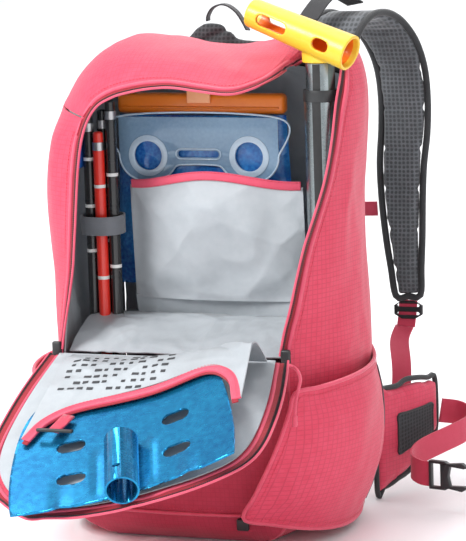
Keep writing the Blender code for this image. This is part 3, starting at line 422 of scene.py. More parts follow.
@dataclass(frozen=True)
class FilmFinish:
    """A clear or tinted flexible film or sheet."""

    name: str
    main: Colour
    second: Colour
    roughness: float = 0.12
    alpha: float = 1.0
    wrinkle: float = 0.002

    def material(self) -> bpy.types.Material:
        """Builds the material, or finds it if it was built before.

        Returns:
            The material.
        """
        if self.name in bpy.data.materials:
            return bpy.data.materials[self.name]
        made, w, shader = blank_material(self.name)
        place = w.add("ShaderNodeTexCoord").outputs["Object"]
        tone = w.add("ShaderNodeGroup", node_tree=tone_group())
        w.feed(tone, Place=place, Scale=22.0, Main=(*self.main, 1), Second=(*self.second, 1), Amount=1.0)
        folds = w.add("ShaderNodeGroup", node_tree=crease_group())
        w.feed(folds, Place=place, Scale=26.0, Sharpness=1.4)
        bump = w.feed(w.add("ShaderNodeBump"), Height=folds.outputs["Height"], Strength=0.8,
                      Distance=self.wrinkle)
        rough = w.maths("ADD", self.roughness, w.maths("MULTIPLY", folds.outputs["Fold"], 0.15))
        w.feed(shader, Base_Color=tone.outputs["Color"], Roughness=rough, Normal=bump.outputs[0])
        shader.inputs["Alpha"].default_value = self.alpha
        shader.inputs["Coat Weight"].default_value = 0.5
        return made


def blank_material(name: str) -> tuple:
    """Makes a material with a Principled shader.

    Args:
        name: The material's name.

    Returns:
        (material, writer of its tree, the shader).
    """
    made = bpy.data.materials.new(name)
    made.use_nodes = True
    return made, ShaderWriter(made.node_tree), made.node_tree.nodes["Principled BSDF"]


CORAL = ClothFinish("coral ripstop", (0.62, 0.034, 0.082), (0.74, 0.080, 0.145), Weave.RIPSTOP, 0.0045,
                    0.6, 0.15, 0.008, 13.0, contrast=0.4)
CORAL_SOFT = ClothFinish("coral side pocket cloth", (0.62, 0.034, 0.084), (0.74, 0.080, 0.150), Weave.RIPSTOP,
                         0.0045, 0.6, 0.15, 0.010, 14.0, contrast=0.35)
# Coral darkened to about seven tenths: painted shadow of the open flap on the lower front.
CORAL_PAINTED_FLAP_SHADOW = ClothFinish("deep red front cloth", (0.44, 0.024, 0.060), (0.54, 0.045, 0.095), Weave.RIPSTOP, 0.0045,
                       0.7, 0.2, 0.005, 16.0)
DUSKY = ClothFinish("dusky base cloth", (0.46, 0.075, 0.14), (0.55, 0.11, 0.18), Weave.PLAIN, 0.0022, 0.8, 0.3)
PIPING = ClothFinish("coral piping", (0.70, 0.065, 0.13), (0.80, 0.12, 0.19), Weave.WEBBING, 0.0016, 0.6, 0.35)
DARK_TAPE = ClothFinish("dark red zip tape", (0.30, 0.008, 0.02), (0.42, 0.015, 0.03), Weave.WEBBING, 0.0012,
                        0.7, 0.2)
CORAL_WEB = ClothFinish("coral webbing", (0.58, 0.034, 0.080), (0.68, 0.065, 0.13), Weave.WEBBING, 0.0022,
                        0.65, 0.3)
LINING = ClothFinish("lining cloth", (0.41, 0.445, 0.475), (0.50, 0.53, 0.555), Weave.PLAIN, 0.0011, 0.4, 0.15,
                     0.020, 13.0, crumple=1.1)
# Lining cloth darkened as painted shade for deep inside the bag.
LINING_PAINTED_SHADE = ClothFinish("inner lining cloth", (0.36, 0.38, 0.40), (0.46, 0.48, 0.50), Weave.PLAIN, 0.0011,
                          0.5, 0.2, 0.009, 16.0)
ELASTIC = ClothFinish("grey elastic", (0.16, 0.17, 0.19), (0.23, 0.24, 0.26), Weave.WEBBING, 0.0012, 0.7, 0.4)
AIR_MESH = ClothFinish("black air mesh", (0.030, 0.033, 0.037), (0.075, 0.08, 0.085), Weave.SPACER_MESH,
                       0.0042, 0.85, 0.2, contrast=1.0)
STRAP_MESH = ClothFinish("heather strap mesh", (0.085, 0.092, 0.10), (0.19, 0.20, 0.22), Weave.SPACER_MESH,
                         0.0044, 0.8, 0.35, contrast=0.95)
BLACK_WEB = ClothFinish("black webbing", (0.018, 0.019, 0.021), (0.04, 0.042, 0.046), Weave.WEBBING, 0.002,
                        0.7, 0.3)
CORAL_THREAD = ClothFinish("coral thread", (0.62, 0.03, 0.07), (0.75, 0.06, 0.11), Weave.WEBBING, 0.0008)
PALE_THREAD = ClothFinish("pale thread", (0.62, 0.63, 0.65), (0.74, 0.75, 0.76), Weave.WEBBING, 0.0008)
BLACK_THREAD = ClothFinish("black thread", (0.02, 0.02, 0.022), (0.05, 0.05, 0.055), Weave.WEBBING, 0.0008)
BLACK_PLASTIC = MouldedFinish("black acetal", (0.016, 0.017, 0.018), (0.03, 0.031, 0.033), 0.36)
BLACK_RUBBER = MouldedFinish("black rubber inlay", (0.012, 0.012, 0.013), (0.022, 0.022, 0.023), 0.55)
YELLOW = MouldedFinish("yellow nylon", (0.78, 0.50, 0.030), (0.84, 0.56, 0.06), 0.34, coat=0.1)
# Orange nylon of the slide bar; on the T grip's inner skin the same orange is painted shade inside the bore.
ORANGE_AND_PAINTED_GRIP_SHADE = MouldedFinish("orange nylon", (0.80, 0.17, 0.008), (0.86, 0.23, 0.015), 0.34, coat=0.15)
PEACH = MouldedFinish("peach nylon", (0.93, 0.36, 0.16), (0.98, 0.45, 0.22), 0.36)
PROBE_BLACK = MouldedFinish("black probe coating", (0.010, 0.010, 0.011), (0.02, 0.02, 0.022), 0.22, coat=0.4)
PROBE_RED = MouldedFinish("red probe coating", (0.78, 0.022, 0.012), (0.88, 0.04, 0.02), 0.26, coat=0.4)
WHITE_MARK = MouldedFinish("white probe marks", (0.78, 0.78, 0.76), (0.86, 0.86, 0.84), 0.4)
GRIP_BLUE = MouldedFinish("blue grip rubber", (0.012, 0.10, 0.45), (0.02, 0.15, 0.55), 0.45)
GREY_PLASTIC = MouldedFinish("grey nylon", (0.22, 0.23, 0.25), (0.30, 0.31, 0.33), 0.4)
PRINT_DARK = MouldedFinish("dark print", (0.035, 0.036, 0.04), (0.06, 0.06, 0.066), 0.6)
PRINT_RED = MouldedFinish("red print", (0.72, 0.05, 0.09), (0.8, 0.08, 0.12), 0.6)
SILVER = MetalFinish("brushed silver tube", (0.36, 0.40, 0.41), (0.26, 0.30, 0.31), 0.24)
# Painted shade: a dark strip laid on the silver tubes where one facet faces away from the light.
FACET_PAINTED_SHADE = MetalFinish("dark anodised facet", (0.10, 0.125, 0.115), (0.16, 0.185, 0.17), 0.3)
BLADE_BLUE = MetalFinish("blue anodised sheet", (0.006, 0.15, 0.36), (0.02, 0.34, 0.62), 0.22,
                         (40.0, 420.0, 420.0), 0.75)
STEEL = MetalFinish("spring steel", (0.50, 0.50, 0.51), (0.42, 0.42, 0.43), 0.3)
FILM_BLUE = FilmFinish("blue reservoir film", (0.006, 0.075, 0.36), (0.04, 0.26, 0.62), 0.1, 1.0, 0.006)
CLEAR_RIM = FilmFinish("clear handle rim", (0.50, 0.64, 0.78), (0.60, 0.72, 0.84), 0.12, 0.9, 0.0003)
CLEAR_SHEET = FilmFinish("clear handle sheet", (0.26, 0.42, 0.60), (0.34, 0.52, 0.70), 0.08, 0.62, 0.0006)


# Geometry helpers ------------------------------------------------------------------------------

def shown(name: str, mesh: bpy.types.Mesh, finish: object, smooth: bool = True) -> bpy.types.Object:
    """Puts a mesh in the scene with its finish.

    Args:
        name: The piece's name.
        mesh: Its mesh, in the row's frame.
        finish: The finish whose material it takes.
        smooth: Whether its faces are shaded smooth, with sharp edges kept.

    Returns:
        The piece.
    """
    made = bpy.data.objects.new(name, mesh)
    bpy.context.scene.collection.objects.link(made)
    mesh.materials.clear()
    mesh.materials.append(finish.material())
    if smooth:
        mesh.shade_smooth()
        mesh.set_sharp_from_angle(angle=math.radians(42))
    return made


def settle(piece: bpy.types.Object, body: str, slot: str, *nodes: str) -> bpy.types.Object:
    """Hangs a piece on its body and hides the CAD nodes that it stands for.

    Args:
        piece: The piece.
        body: The body it moves with.
        slot: The record's material slot; not used.
        nodes: CAD nodes that it replaces.

    Returns:
        The piece.
    """
    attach(piece, body)
    if nodes:
        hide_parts(*nodes)
    return piece


def evaluated(piece: bpy.types.Object) -> bpy.types.Mesh:
    """Applies a piece's modifiers.

    Args:
        piece: An object with live modifiers.

    Returns:
        A new mesh of the result, in the object's own space.
    """
    graph = bpy.context.evaluated_depsgraph_get()
    return bpy.data.meshes.new_from_object(piece.evaluated_get(graph), depsgraph=graph)


def cooked(name: str, mesh: bpy.types.Mesh, steps: Sequence[tuple]) -> bpy.types.Mesh:
    """Runs a mesh through modifiers and drops them.

    Args:
        name: A name for the throw-away object.
        mesh: The mesh to start from.
        steps: (modifier type, settings) in order.

    Returns:
        The finished mesh.
    """
    made = bpy.data.objects.new(name, mesh)
    bpy.context.scene.collection.objects.link(made)
    for kind, settings in steps:
        change = made.modifiers.new(kind, kind)
        for key, value in settings.items():
            setattr(change, key, value)
    result = evaluated(made)
    bpy.data.objects.remove(made)
    return result


def welded(node: str) -> bmesh.types.BMesh:
    """Copies a CAD node as joined quads.

    Args:
        node: The node's name.

    Returns:
        A bmesh of it, to be freed.
    """
    shape = bmesh.new()
    shape.from_mesh(frame["nodes"][node].data)
    bmesh.ops.remove_doubles(shape, verts=shape.verts, dist=2e-5)
    bmesh.ops.join_triangles(shape, faces=shape.faces, angle_face_threshold=0.75, angle_shape_threshold=1.4)
    return shape


def refined(node: str, levels: int = 2, crease: float = 1.0) -> bpy.types.Mesh:
    """Smooth fine copy of a CAD node that keeps its sharp edges where they are.

    Args:
        node: The node's name.
        levels: Subdivision levels.
        crease: How firmly sharp edges are held.

    Returns:
        The fine mesh.
    """
    shape = welded(node)
    layer = shape.edges.layers.float.new("crease_edge")
    for edge in shape.edges:
        if len(edge.link_faces) == 2 and edge.calc_face_angle(0.0) > SHARP:
            edge[layer] = crease
    mesh = bpy.data.meshes.new(node + "_fine")
    shape.to_mesh(mesh)
    shape.free()
    return cooked("refine", mesh, [("SUBSURF", {"levels": levels, "render_levels": levels})])


@dataclass
class RimPoint:
    """A place on a shell's edge: where it is, the way into the cloth and the cloth's outward normal."""

    place: Vector
    inward: Vector
    normal: Vector


def rims(node: str, wall: float = 0.0045, through: Optional[Vector] = None) -> list[list[RimPoint]]:
    """Sharp closed edges of a CAD node, longest first.

    Args:
        node: The node's name.
        wall: Edges shorter than this cross its wall, and aren't followed.
        through: Direction of the edges that cross its wall, if they are long.

    Returns:
        Rings of rim points.
    """
    def along(edge: bmesh.types.BMEdge) -> bool:
        """Whether an edge runs along a rim."""
        run = edge.verts[1].co - edge.verts[0].co
        crosses = through is not None and abs(run.normalized().dot(through)) > 0.97
        return run.length > wall and not crosses

    shape = welded(node)
    sharp = {e for e in shape.edges if len(e.link_faces) == 2 and e.calc_face_angle(0.0) > SHARP and along(e)}
    held = {v for e in sharp for v in e.verts}
    rings = []
    left = set(sharp)
    while left:
        edge = left.pop()
        chain = [edge.verts[0], edge.verts[1]]
        while chain[-1] is not chain[0]:
            onward = [e for e in chain[-1].link_edges if e in left]
            if not onward:
                break
            left.discard(onward[0])
            chain.append(onward[0].other_vert(chain[-1]))
        if chain[0] is chain[-1]:
            chain.pop()
        if len(chain) > 5:
            rings.append([rim_point(v, sharp, held) for v in chain])
    shape.free()
    return sorted(rings, key=lambda ring: -path_length([p.place for p in ring]))


def rim_point(vert: bmesh.types.BMVert, sharp: set, held: set) -> RimPoint:
    """Describes one vertex of a rim.

    Args:
        vert: The vertex.
        sharp: Sharp edges of its mesh.
        held: Vertices on sharp edges.

    Returns:
        The rim point.
    """
    inner = [e.other_vert(vert) for e in vert.link_edges if e not in sharp and e.other_vert(vert) not in held]
    if not inner:
        inner = [v for f in vert.link_faces for v in f.verts if v not in held]
    faces = [f for f in vert.link_faces if any(v in f.verts for v in inner)] or list(vert.link_faces)
    normal = sum((f.normal for f in faces), Vector()).normalized()
    inward = sum(((v.co - vert.co).normalized() for v in inner), Vector())
    inward = (inward - normal * inward.dot(normal)).normalized() if inward.length > 1e-6 else Vector()
    return RimPoint(vert.co.copy(), inward, normal)


def path_length(points: Sequence[Vector]) -> float:
    """Length of a run of points."""
    return sum((b - a).length for a, b in zip(points, points[1:]))


def smooth_line(points: Sequence[Vector], step: float, closed: bool = False) -> list[Vector]:
    """Evenly spaced points on a smooth curve through others.

    Args:
        points: The points to pass through.
        step: Spacing in metres.
        closed: Whether the curve joins its start.

    Returns:
        The new points.
    """
    count = len(points)
    dense = []
    for i in range(count if closed else count - 1):
        ring = [points[(i + k) % count] if closed else points[min(max(i + k, 0), count - 1)]
                for k in (-1, 0, 1, 2)]
        pieces = max(2, int((ring[2] - ring[1]).length / (step * 0.5)))
        for j in range(pieces):
            t = j / pieces
            a, b, c, d = ring
            dense.append(0.5 * ((2 * b) + (c - a) * t + (2 * a - 5 * b + 4 * c - d) * t * t
                                + (3 * b - a - 3 * c + d) * t**3))
    dense.append(points[0].copy() if closed else points[-1].copy())
    total = path_length(dense)
    wanted = max(2, round(total / step))
    result, walked, nexts = [dense[0]], 0.0, 1
    for a, b in zip(dense, dense[1:]):
        run = (b - a).length
        while nexts < wanted and walked + run >= nexts * total / wanted:
            result.append(a.lerp(b, (nexts * total / wanted - walked) / max(run, 1e-9)))
            nexts += 1
        walked += run
    if not closed:
        result.append(dense[-1])
    return result


def displace(mesh: bpy.types.Mesh, field: Field) -> None:
    """Moves each vertex by a field of its place and normal.

    Args:
        mesh: The mesh to change.
        field: Gives the offset.
    """
    normals = [v.normal.copy() for v in mesh.vertices]
    for vert, normal in zip(mesh.vertices, normals):
        vert.co += field(vert.co, normal)
    mesh.update()


def folds(place: Vector, scale: Sequence[float], seed: float = 0.0, sharp: float = 0.5) -> float:
    """Height of cloth folds at a place, about -1 to 1.

    Args:
        place: Point in metres.
        scale: Folds per metre along each axis.
        seed: Shifts the pattern.
        sharp: Share of sharp ridges.

    Returns:
        The height.
    """
    spot = Vector((place.x * scale[0], place.y * scale[1], place.z * scale[2])) + Vector((seed, seed * 0.7, seed))
    warp = noise.noise_vector(spot * 0.6) * 0.6
    soft = noise.noise(spot + warp)
    ridge = 1.0 - 2.2 * abs(noise.noise(spot * 1.7 + warp * 1.4))
    return soft * (1.0 - sharp) + ridge * sharp * 0.7


def map_cloth(mesh: bpy.types.Mesh, across: Sequence[float], up: Sequence[float]) -> bpy.types.Mesh:
    """Lays a flat map in metres over a mesh.

    Args:
        mesh: The mesh.
        across: Direction of the map's first axis.
        up: Direction of its second.

    Returns:
        The same mesh.
    """
    layer = mesh.uv_layers.get("cloth") or mesh.uv_layers.new(name="cloth")
    first, second = Vector(across).normalized(), Vector(up).normalized()
    places = [(v.co.dot(first), v.co.dot(second)) for v in mesh.vertices]
    for loop in mesh.loops:
        layer.data[loop.index].uv = places[loop.vertex_index]
    return mesh


def path_mesh(name: str, points: Sequence[Vector], closed: bool = False) -> bpy.types.Mesh:
    """Makes a bare run of edges."""
    mesh = bpy.data.meshes.new(name)
    links = [(i, i + 1) for i in range(len(points) - 1)] + ([(len(points) - 1, 0)] if closed else [])
    mesh.from_pydata([tuple(p) for p in points], links, [])
    return mesh


# Geometry node trees ---------------------------------------------------------------------------

class Repeat(Enum):
    """What is set along a path."""

    STITCH = "stitch"
    TOOTH = "tooth"
    BEAD = "bead"


class NodeBench:
    """Builds the geometry node trees for piping, stitches and zip teeth, each once."""

    def __init__(self) -> None:
        """Starts with no trees."""
        self.trees: dict[str, tuple] = {}

    @staticmethod
    def tree(name: str, sizes: Sequence[str]) -> tuple:
        """Starts a tree with a geometry input, named sizes and a finish.

        Args:
            name: The tree's name.
            sizes: Names of its number inputs.

        Returns:
            (tree, input node, output node, socket identifiers by name).
        """
        tree = bpy.data.node_groups.new(name, "GeometryNodeTree")
        tree.interface.new_socket(name="Geometry", in_out="INPUT", socket_type="NodeSocketGeometry")
        keys = {}
        for label in sizes:
            keys[label] = tree.interface.new_socket(name=label, in_out="INPUT",
                                                    socket_type="NodeSocketFloat").identifier
        keys["Finish"] = tree.interface.new_socket(name="Finish", in_out="INPUT",
                                                   socket_type="NodeSocketMaterial").identifier
        tree.interface.new_socket(name="Geometry", in_out="OUTPUT", socket_type="NodeSocketGeometry")
        return tree, tree.nodes.new("NodeGroupInput"), tree.nodes.new("NodeGroupOutput"), keys

    def finish_tree(self, tree: bpy.types.NodeTree, start: bpy.types.Node, end: bpy.types.Node,
                    geometry: bpy.types.NodeSocket) -> None:
        """Ends a tree in Realize Instances, smooth shading and Set Material."""
        real = tree.nodes.new("GeometryNodeRealizeInstances")
        smooth = tree.nodes.new("GeometryNodeSetShadeSmooth")
        paint = tree.nodes.new("GeometryNodeSetMaterial")
        tree.links.new(geometry, real.inputs[0])
        tree.links.new(real.outputs[0], smooth.inputs[0])
        tree.links.new(smooth.outputs[0], paint.inputs["Geometry"])
        tree.links.new(start.outputs["Finish"], paint.inputs["Material"])
        tree.links.new(paint.outputs[0], end.inputs[0])

    def piping(self) -> tuple:
        """Tree that sweeps a round section along a path.

        Returns:
            (tree, socket identifiers).
        """
        if "piping" not in self.trees:
            tree, start, end, keys = self.tree("Piping along an edge", ("Radius",))
            curve = tree.nodes.new("GeometryNodeMeshToCurve")
            ring = tree.nodes.new("GeometryNodeCurvePrimitiveCircle")
            ring.inputs["Resolution"].default_value = 10
            sweep = tree.nodes.new("GeometryNodeCurveToMesh")
            sweep.inputs["Fill Caps"].default_value = True
            tree.links.new(start.outputs["Geometry"], curve.inputs["Mesh"])
            tree.links.new(start.outputs["Radius"], ring.inputs["Radius"])
            tree.links.new(curve.outputs[0], sweep.inputs["Curve"])
            tree.links.new(ring.outputs["Curve"], sweep.inputs["Profile Curve"])
            self.finish_tree(tree, start, end, sweep.outputs[0])
            self.trees["piping"] = (tree, keys)
        return self.trees["piping"]

    def repeat(self, kind: Repeat) -> tuple:
        """Tree that sets small pieces along a path.

        Args:
            kind: What is repeated.

        Returns:
            (tree, socket identifiers).
        """
        if kind.value not in self.trees:
            tree, start, end, keys = self.tree(f"Row of {kind.value} pieces", ("Pitch", "Length", "Width", "Height"))
            curve = tree.nodes.new("GeometryNodeMeshToCurve")
            spaced = tree.nodes.new("GeometryNodeResampleCurve")
            spaced.mode = "LENGTH"
            tangent = tree.nodes.new("GeometryNodeInputTangent")
            turn = tree.nodes.new("FunctionNodeAlignRotationToVector")
            turn.axis = "X"
            size = tree.nodes.new("ShaderNodeCombineXYZ")
            unit = tree.nodes.new("GeometryNodeMeshCube" if kind is Repeat.TOOTH else "GeometryNodeMeshUVSphere")
            if kind is not Repeat.TOOTH:
                unit.inputs["Segments"].default_value = 6
                unit.inputs["Rings"].default_value = 4
                unit.inputs["Radius"].default_value = 0.5
            place = tree.nodes.new("GeometryNodeInstanceOnPoints")
            tree.links.new(start.outputs["Geometry"], curve.inputs["Mesh"])
            tree.links.new(curve.outputs[0], spaced.inputs["Curve"])
            tree.links.new(start.outputs["Pitch"], spaced.inputs["Length"])
            tree.links.new(spaced.outputs[0], place.inputs["Points"])
            tree.links.new(unit.outputs["Mesh"], place.inputs["Instance"])
            tree.links.new(tangent.outputs[0], turn.inputs["Vector"])
            tree.links.new(turn.outputs[0], place.inputs["Rotation"])
            for axis, label in zip("XYZ", ("Length", "Width", "Height")):
                tree.links.new(start.outputs[label], size.inputs[axis])
            tree.links.new(size.outputs[0], place.inputs["Scale"])
            self.finish_tree(tree, start, end, place.outputs[0])
            self.trees[kind.value] = (tree, keys)
        return self.trees[kind.value]

    def run(self, name: str, made: tuple, points: Sequence[Vector], finish: object, closed: bool = False,
            **sizes: float) -> bpy.types.Object:
        """Runs a tree on a path and keeps the result as a plain mesh.

        Args:
            name: The piece's name.
            made: (tree, socket identifiers).
            points: The path.
            finish: The finish of what is made.
            closed: Whether the path is a ring.
            sizes: Values for the tree's number inputs.

        Returns:
            The piece.
        """
        tree, keys = made
        source = bpy.data.objects.new(name + "_path", path_mesh(name + "_path", points, closed))
        bpy.context.scene.collection.objects.link(source)
        change = source.modifiers.new("Nodes", "NODES")
        change.node_group = tree
        for label, value in sizes.items():
            change[keys[label]] = value
        change[keys["Finish"]] = finish.material()
        mesh = evaluated(source)
        bpy.data.objects.remove(source)
        mesh.name = name
        return shown(name, map_cloth(mesh, (1, 0.3, 0), (0, 0.3, 1)), finish)

    def tube(self, name: str, points: Sequence[Vector], radius: float, finish: object,
             closed: bool = False) -> bpy.types.Object:
        """Round cord or piping along a path."""
        return self.run(name, self.piping(), points, finish, closed, Radius=radius)

    def stitches(self, name: str, points: Sequence[Vector], finish: object, closed: bool = False,
                 pitch: float = 0.0034) -> bpy.types.Object:
        """Row of sewn stitches along a path."""
        return self.run(name, self.repeat(Repeat.STITCH), points, finish, closed, Pitch=pitch,
                        Length=pitch * 0.72, Width=0.0007, Height=0.0006)

    def teeth(self, name: str, points: Sequence[Vector], finish: object) -> bpy.types.Object:
        """Row of moulded zip teeth along a path."""
        return self.run(name, self.repeat(Repeat.TOOTH), points, finish, False, Pitch=0.0019,
                        Length=0.0011, Width=0.0034, Height=0.0018)


BENCH = NodeBench()


def ribbon(name: str, points: Sequence[Vector], across: Sequence[Vector], width: float, thickness: float,
           finish: object, columns: int = 4, crown: float = 0.0) -> bpy.types.Object:
    """Flat strap or tape along a path.

    Args:
        name: The piece's name.
        points: Its centre line.
        across: Direction of its width at each point, or one for all.
        width: Its width.
        thickness: Its thickness.
        finish: Its finish.
        columns: Faces across.
        crown: How far its middle stands above its edges.

    Returns:
        The piece.
    """
    sides = list(across) if len(across) == len(points) else [across[0]] * len(points)
    shape = bmesh.new()
    layer = shape.loops.layers.uv.new("cloth")
    rows, spots = [], {}
    walked = 0.0
    for i, point in enumerate(points):
        run = (points[min(i + 1, len(points) - 1)] - points[max(i - 1, 0)]).normalized()
        side = (sides[i] - run * sides[i].dot(run)).normalized()
        up = run.cross(side)
        walked += (point - points[i - 1]).length if i else 0.0
        row = []
        for j in range(columns + 1):
            s = j / columns - 0.5
            vert = shape.verts.new(point + side * (s * width) + up * (crown * (1 - 4 * s * s)))
            spots[vert] = (s * width, walked)
            row.append(vert)
        rows.append(row)
    for low, high in zip(rows, rows[1:]):
        for j in range(columns):
            face = shape.faces.new((low[j], low[j + 1], high[j + 1], high[j]))
            for loop in face.loops:
                loop[layer].uv = spots[loop.vert]
    mesh = bpy.data.meshes.new(name)
    shape.to_mesh(mesh)
    shape.free()
    mesh = cooked(name + "_tape", mesh, [
        ("SOLIDIFY", {"thickness": thickness, "offset": 0.0}),
        ("BEVEL", {"width": min(thickness * 0.3, 0.0006), "segments": 1, "limit_method": "ANGLE"})])
    return shown(name, mesh, finish)


def grid_sheet(name: str, surface: Callable[[float, float], Vector], columns: int, rows: int, thickness: float,
               finish: object, size: tuple[float, float], offset: float = -1.0) -> bpy.types.Object:
    """Sheet through a surface, with a wall and a cloth map.

    Args:
        name: The piece's name.
        surface: Gives the point at two shares from 0 to 1.
        columns: Faces across.
        rows: Faces along.
        thickness: Its thickness.
        finish: Its finish.
        size: Its flat width and length, for the map.
        offset: Which way the wall grows.

    Returns:
        The piece.
    """
    shape = bmesh.new()
    layer = shape.loops.layers.uv.new("cloth")
    verts = [[shape.verts.new(surface(i / columns, j / rows)) for i in range(columns + 1)]
             for j in range(rows + 1)]
    for j in range(rows):
        for i in range(columns):
            corners = ((i, j), (i + 1, j), (i + 1, j + 1), (i, j + 1))
            face = shape.faces.new([verts[b][a] for a, b in corners])
            for loop, (a, b) in zip(face.loops, corners):
                loop[layer].uv = (a / columns * size[0], b / rows * size[1])
    mesh = bpy.data.meshes.new(name)
    shape.to_mesh(mesh)
    shape.free()
    return shown(name, cooked(name + "_wall", mesh, [("SOLIDIFY", {"thickness": thickness, "offset": offset})]),
                 finish)


def lathe(name: str, profile: Sequence[tuple[float, float]], place: Matrix, finish: object,
          sides: int = 48) -> bpy.types.Object:
    """Turned piece about the z axis of a place.

    Args:
        name: The piece's name.
        profile: (radius, height) pairs, bottom to top up the outside; a closed ring if its ends meet.
        place: Matrix from the piece's own frame to the row's.
        finish: Its finish.
        sides: Faces round it.

    Returns:
        The piece.
    """
    shape = bmesh.new()
    line = [shape.verts.new((r, 0.0, z)) for r, z in profile]
    edges = [shape.edges.new(pair) for pair in zip(line, line[1:])]
    bmesh.ops.spin(shape, geom=line + edges, cent=(0, 0, 0), axis=(0, 0, 1), angle=2 * math.pi, steps=sides,
                   use_merge=True)
    bmesh.ops.remove_doubles(shape, verts=shape.verts, dist=1e-6)
    bmesh.ops.transform(shape, matrix=place, verts=shape.verts)
    bmesh.ops.recalc_face_normals(shape, faces=shape.faces)
    mesh = bpy.data.meshes.new(name)
    shape.to_mesh(mesh)
    shape.free()
    return shown(name, map_cloth(mesh, (1, 0.3, 0), (0, 0.3, 1)), finish)


def rounded_box(name: str, low: Vector, high: Vector, finish: object, radius: float,
                place: Optional[Matrix] = None) -> bpy.types.Object:
    """Block with rounded edges.

    Args:
        name: The piece's name.
        low: Lowest corner.
        high: Highest corner.
        finish: Its finish.
        radius: Radius of its edges.
        place: Matrix to the row's frame, if it is turned.

    Returns:
        The piece.
    """
    shape = bmesh.new()
    middle, size = (low + high) / 2, high - low
    bmesh.ops.create_cube(shape, size=1.0, matrix=Matrix.Translation(middle) @ Matrix.Diagonal((*size, 1.0)))
    if place is not None:
        bmesh.ops.transform(shape, matrix=place, verts=shape.verts)
    mesh = bpy.data.meshes.new(name)
    shape.to_mesh(mesh)
    shape.free()
    mesh = cooked(name + "_edges", mesh, [("BEVEL", {"width": radius, "segments": 4})])
    return shown(name, map_cloth(mesh, (1, 0.3, 0), (0, 0.3, 1)), finish)


def flat_plate(name: str, outlines: Sequence[Sequence[tuple[float, float]]], thickness: float, place: Matrix,
               finish: object, edge: float = 0.0005) -> bpy.types.Object:
    """Flat piece with holes and rounded edges.

    Args:
        name: The piece's name.
        outlines: Its edge, then its holes, in its own plane.
        thickness: Its thickness.
        place: Matrix to the row's frame.
        finish: Its finish.
        edge: Radius of its edges.

    Returns:
        The piece.
    """
    curve = bpy.data.curves.new(name, "CURVE")
    curve.dimensions = "2D"
    curve.fill_mode = "BOTH"
    curve.extrude = thickness / 2
    for outline in outlines:
        line = curve.splines.new("POLY")
        line.points.add(len(outline) - 1)
        for slot, (x, y) in zip(line.points, outline):
            slot.co = (x, y, 0.0, 1.0)
        line.use_cyclic_u = True
    source = bpy.data.objects.new(name, curve)
    bpy.context.scene.collection.objects.link(source)
    mesh = evaluated(source)
    bpy.data.objects.remove(source)
    shape = bmesh.new()
    shape.from_mesh(mesh)
    bmesh.ops.remove_doubles(shape, verts=shape.verts, dist=1e-6)
    bmesh.ops.transform(shape, matrix=place, verts=shape.verts)
    shape.to_mesh(mesh)
    shape.free()
    mesh = cooked(name + "_edges", mesh, [("BEVEL", {"width": edge, "segments": 2, "limit_method": "ANGLE"})])
    return shown(name, map_cloth(mesh, (1, 0.3, 0), (0, 0.3, 1)), finish)


def oval(half_x: float, half_y: float, count: int = 48, centre: tuple[float, float] = (0.0, 0.0)) -> list:
    """Points of an ellipse."""
    turns = [2 * math.pi * i / count for i in range(count)]
    return [(centre[0] + half_x * math.cos(t), centre[1] + half_y * math.sin(t)) for t in turns]


def slot_outline(half_long: float, half_wide: float, centre: tuple[float, float] = (0.0, 0.0),
                 count: int = 8) -> list:
    """Points of a slot with round ends, its length along x."""
    straight, ends = half_long - half_wide, []
    for sign in (1, -1):
        for i in range(count + 1):
            turn = math.pi * (i / count - 0.5)
            ends.append((centre[0] + sign * (straight + half_wide * math.cos(turn)),
                         centre[1] + sign * half_wide * math.sin(turn)))
    return ends


def upright(x: float = 0.0, y: float = 0.0, z: float = 0.0) -> Matrix:
    """Turns a flat outline's y into +Z and its normal into -Y."""
    return Matrix.Translation((x, y, z)) @ Matrix.Rotation(math.radians(90), 4, "X")


def joint(name: str) -> dict:
    """The record's joint of that name."""
    return next(j for j in frame["record"]["behaviour"]["joints"] if j["name"] == name)


def middle_of(node: str) -> Vector:
    """Middle of a CAD node's box."""
    low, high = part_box(node)
    return (Vector(low) + Vector(high)) / 2


def pivot(name: str) -> Vector:
    """Point on a joint's axis."""
    return Vector(joint(name)["pos_m"])


def centreline(node: str, radius: float) -> list[Vector]:
    """Middle line of a tube node, from one end to the other.

    Args:
        node: The node's name.
        radius: The tube's radius.

    Returns:
        One point for each of its rings, in order.
    """
    shape = welded(node)
    shape.normal_update()
    sums: list[list] = []
    for vert in shape.verts:
        guess = vert.co - vert.normal * radius
        home = next((s for s in sums if (s[0] / s[1] - guess).length < radius * 1.6), None)
        if home is None:
            sums.append([guess, 1])
        else:
            home[0] = home[0] + guess
            home[1] += 1
    shape.free()
    left = [total / count for total, count in sums]

    def is_end(point: Vector) -> bool:
        """Whether a point's two neighbours lie on the same side of it."""
        near = sorted(left, key=lambda other: (other - point).length)[1:3]
        return (near[0] - point).dot(near[1] - point) > 0

    chain = [next((p for p in sorted(left, key=lambda q: q.x) if is_end(p)), left[0])]
    left.remove(chain[0])
    while left:
        chain.append(min(left, key=lambda other: (other - chain[-1]).length))
        left.remove(chain[-1])
    return chain


def edge_tree(node: str, step: float = 0.005) -> KDTree:
    """Search tree of the places along a node's sewn edges."""
    spots = [p for ring in rims(node)[:2] for p in smooth_line([r.place for r in ring], step, True)]
    tree = KDTree(len(spots))
    for number, spot in enumerate(spots):
        tree.insert(spot, number)
    tree.balance()
    return tree


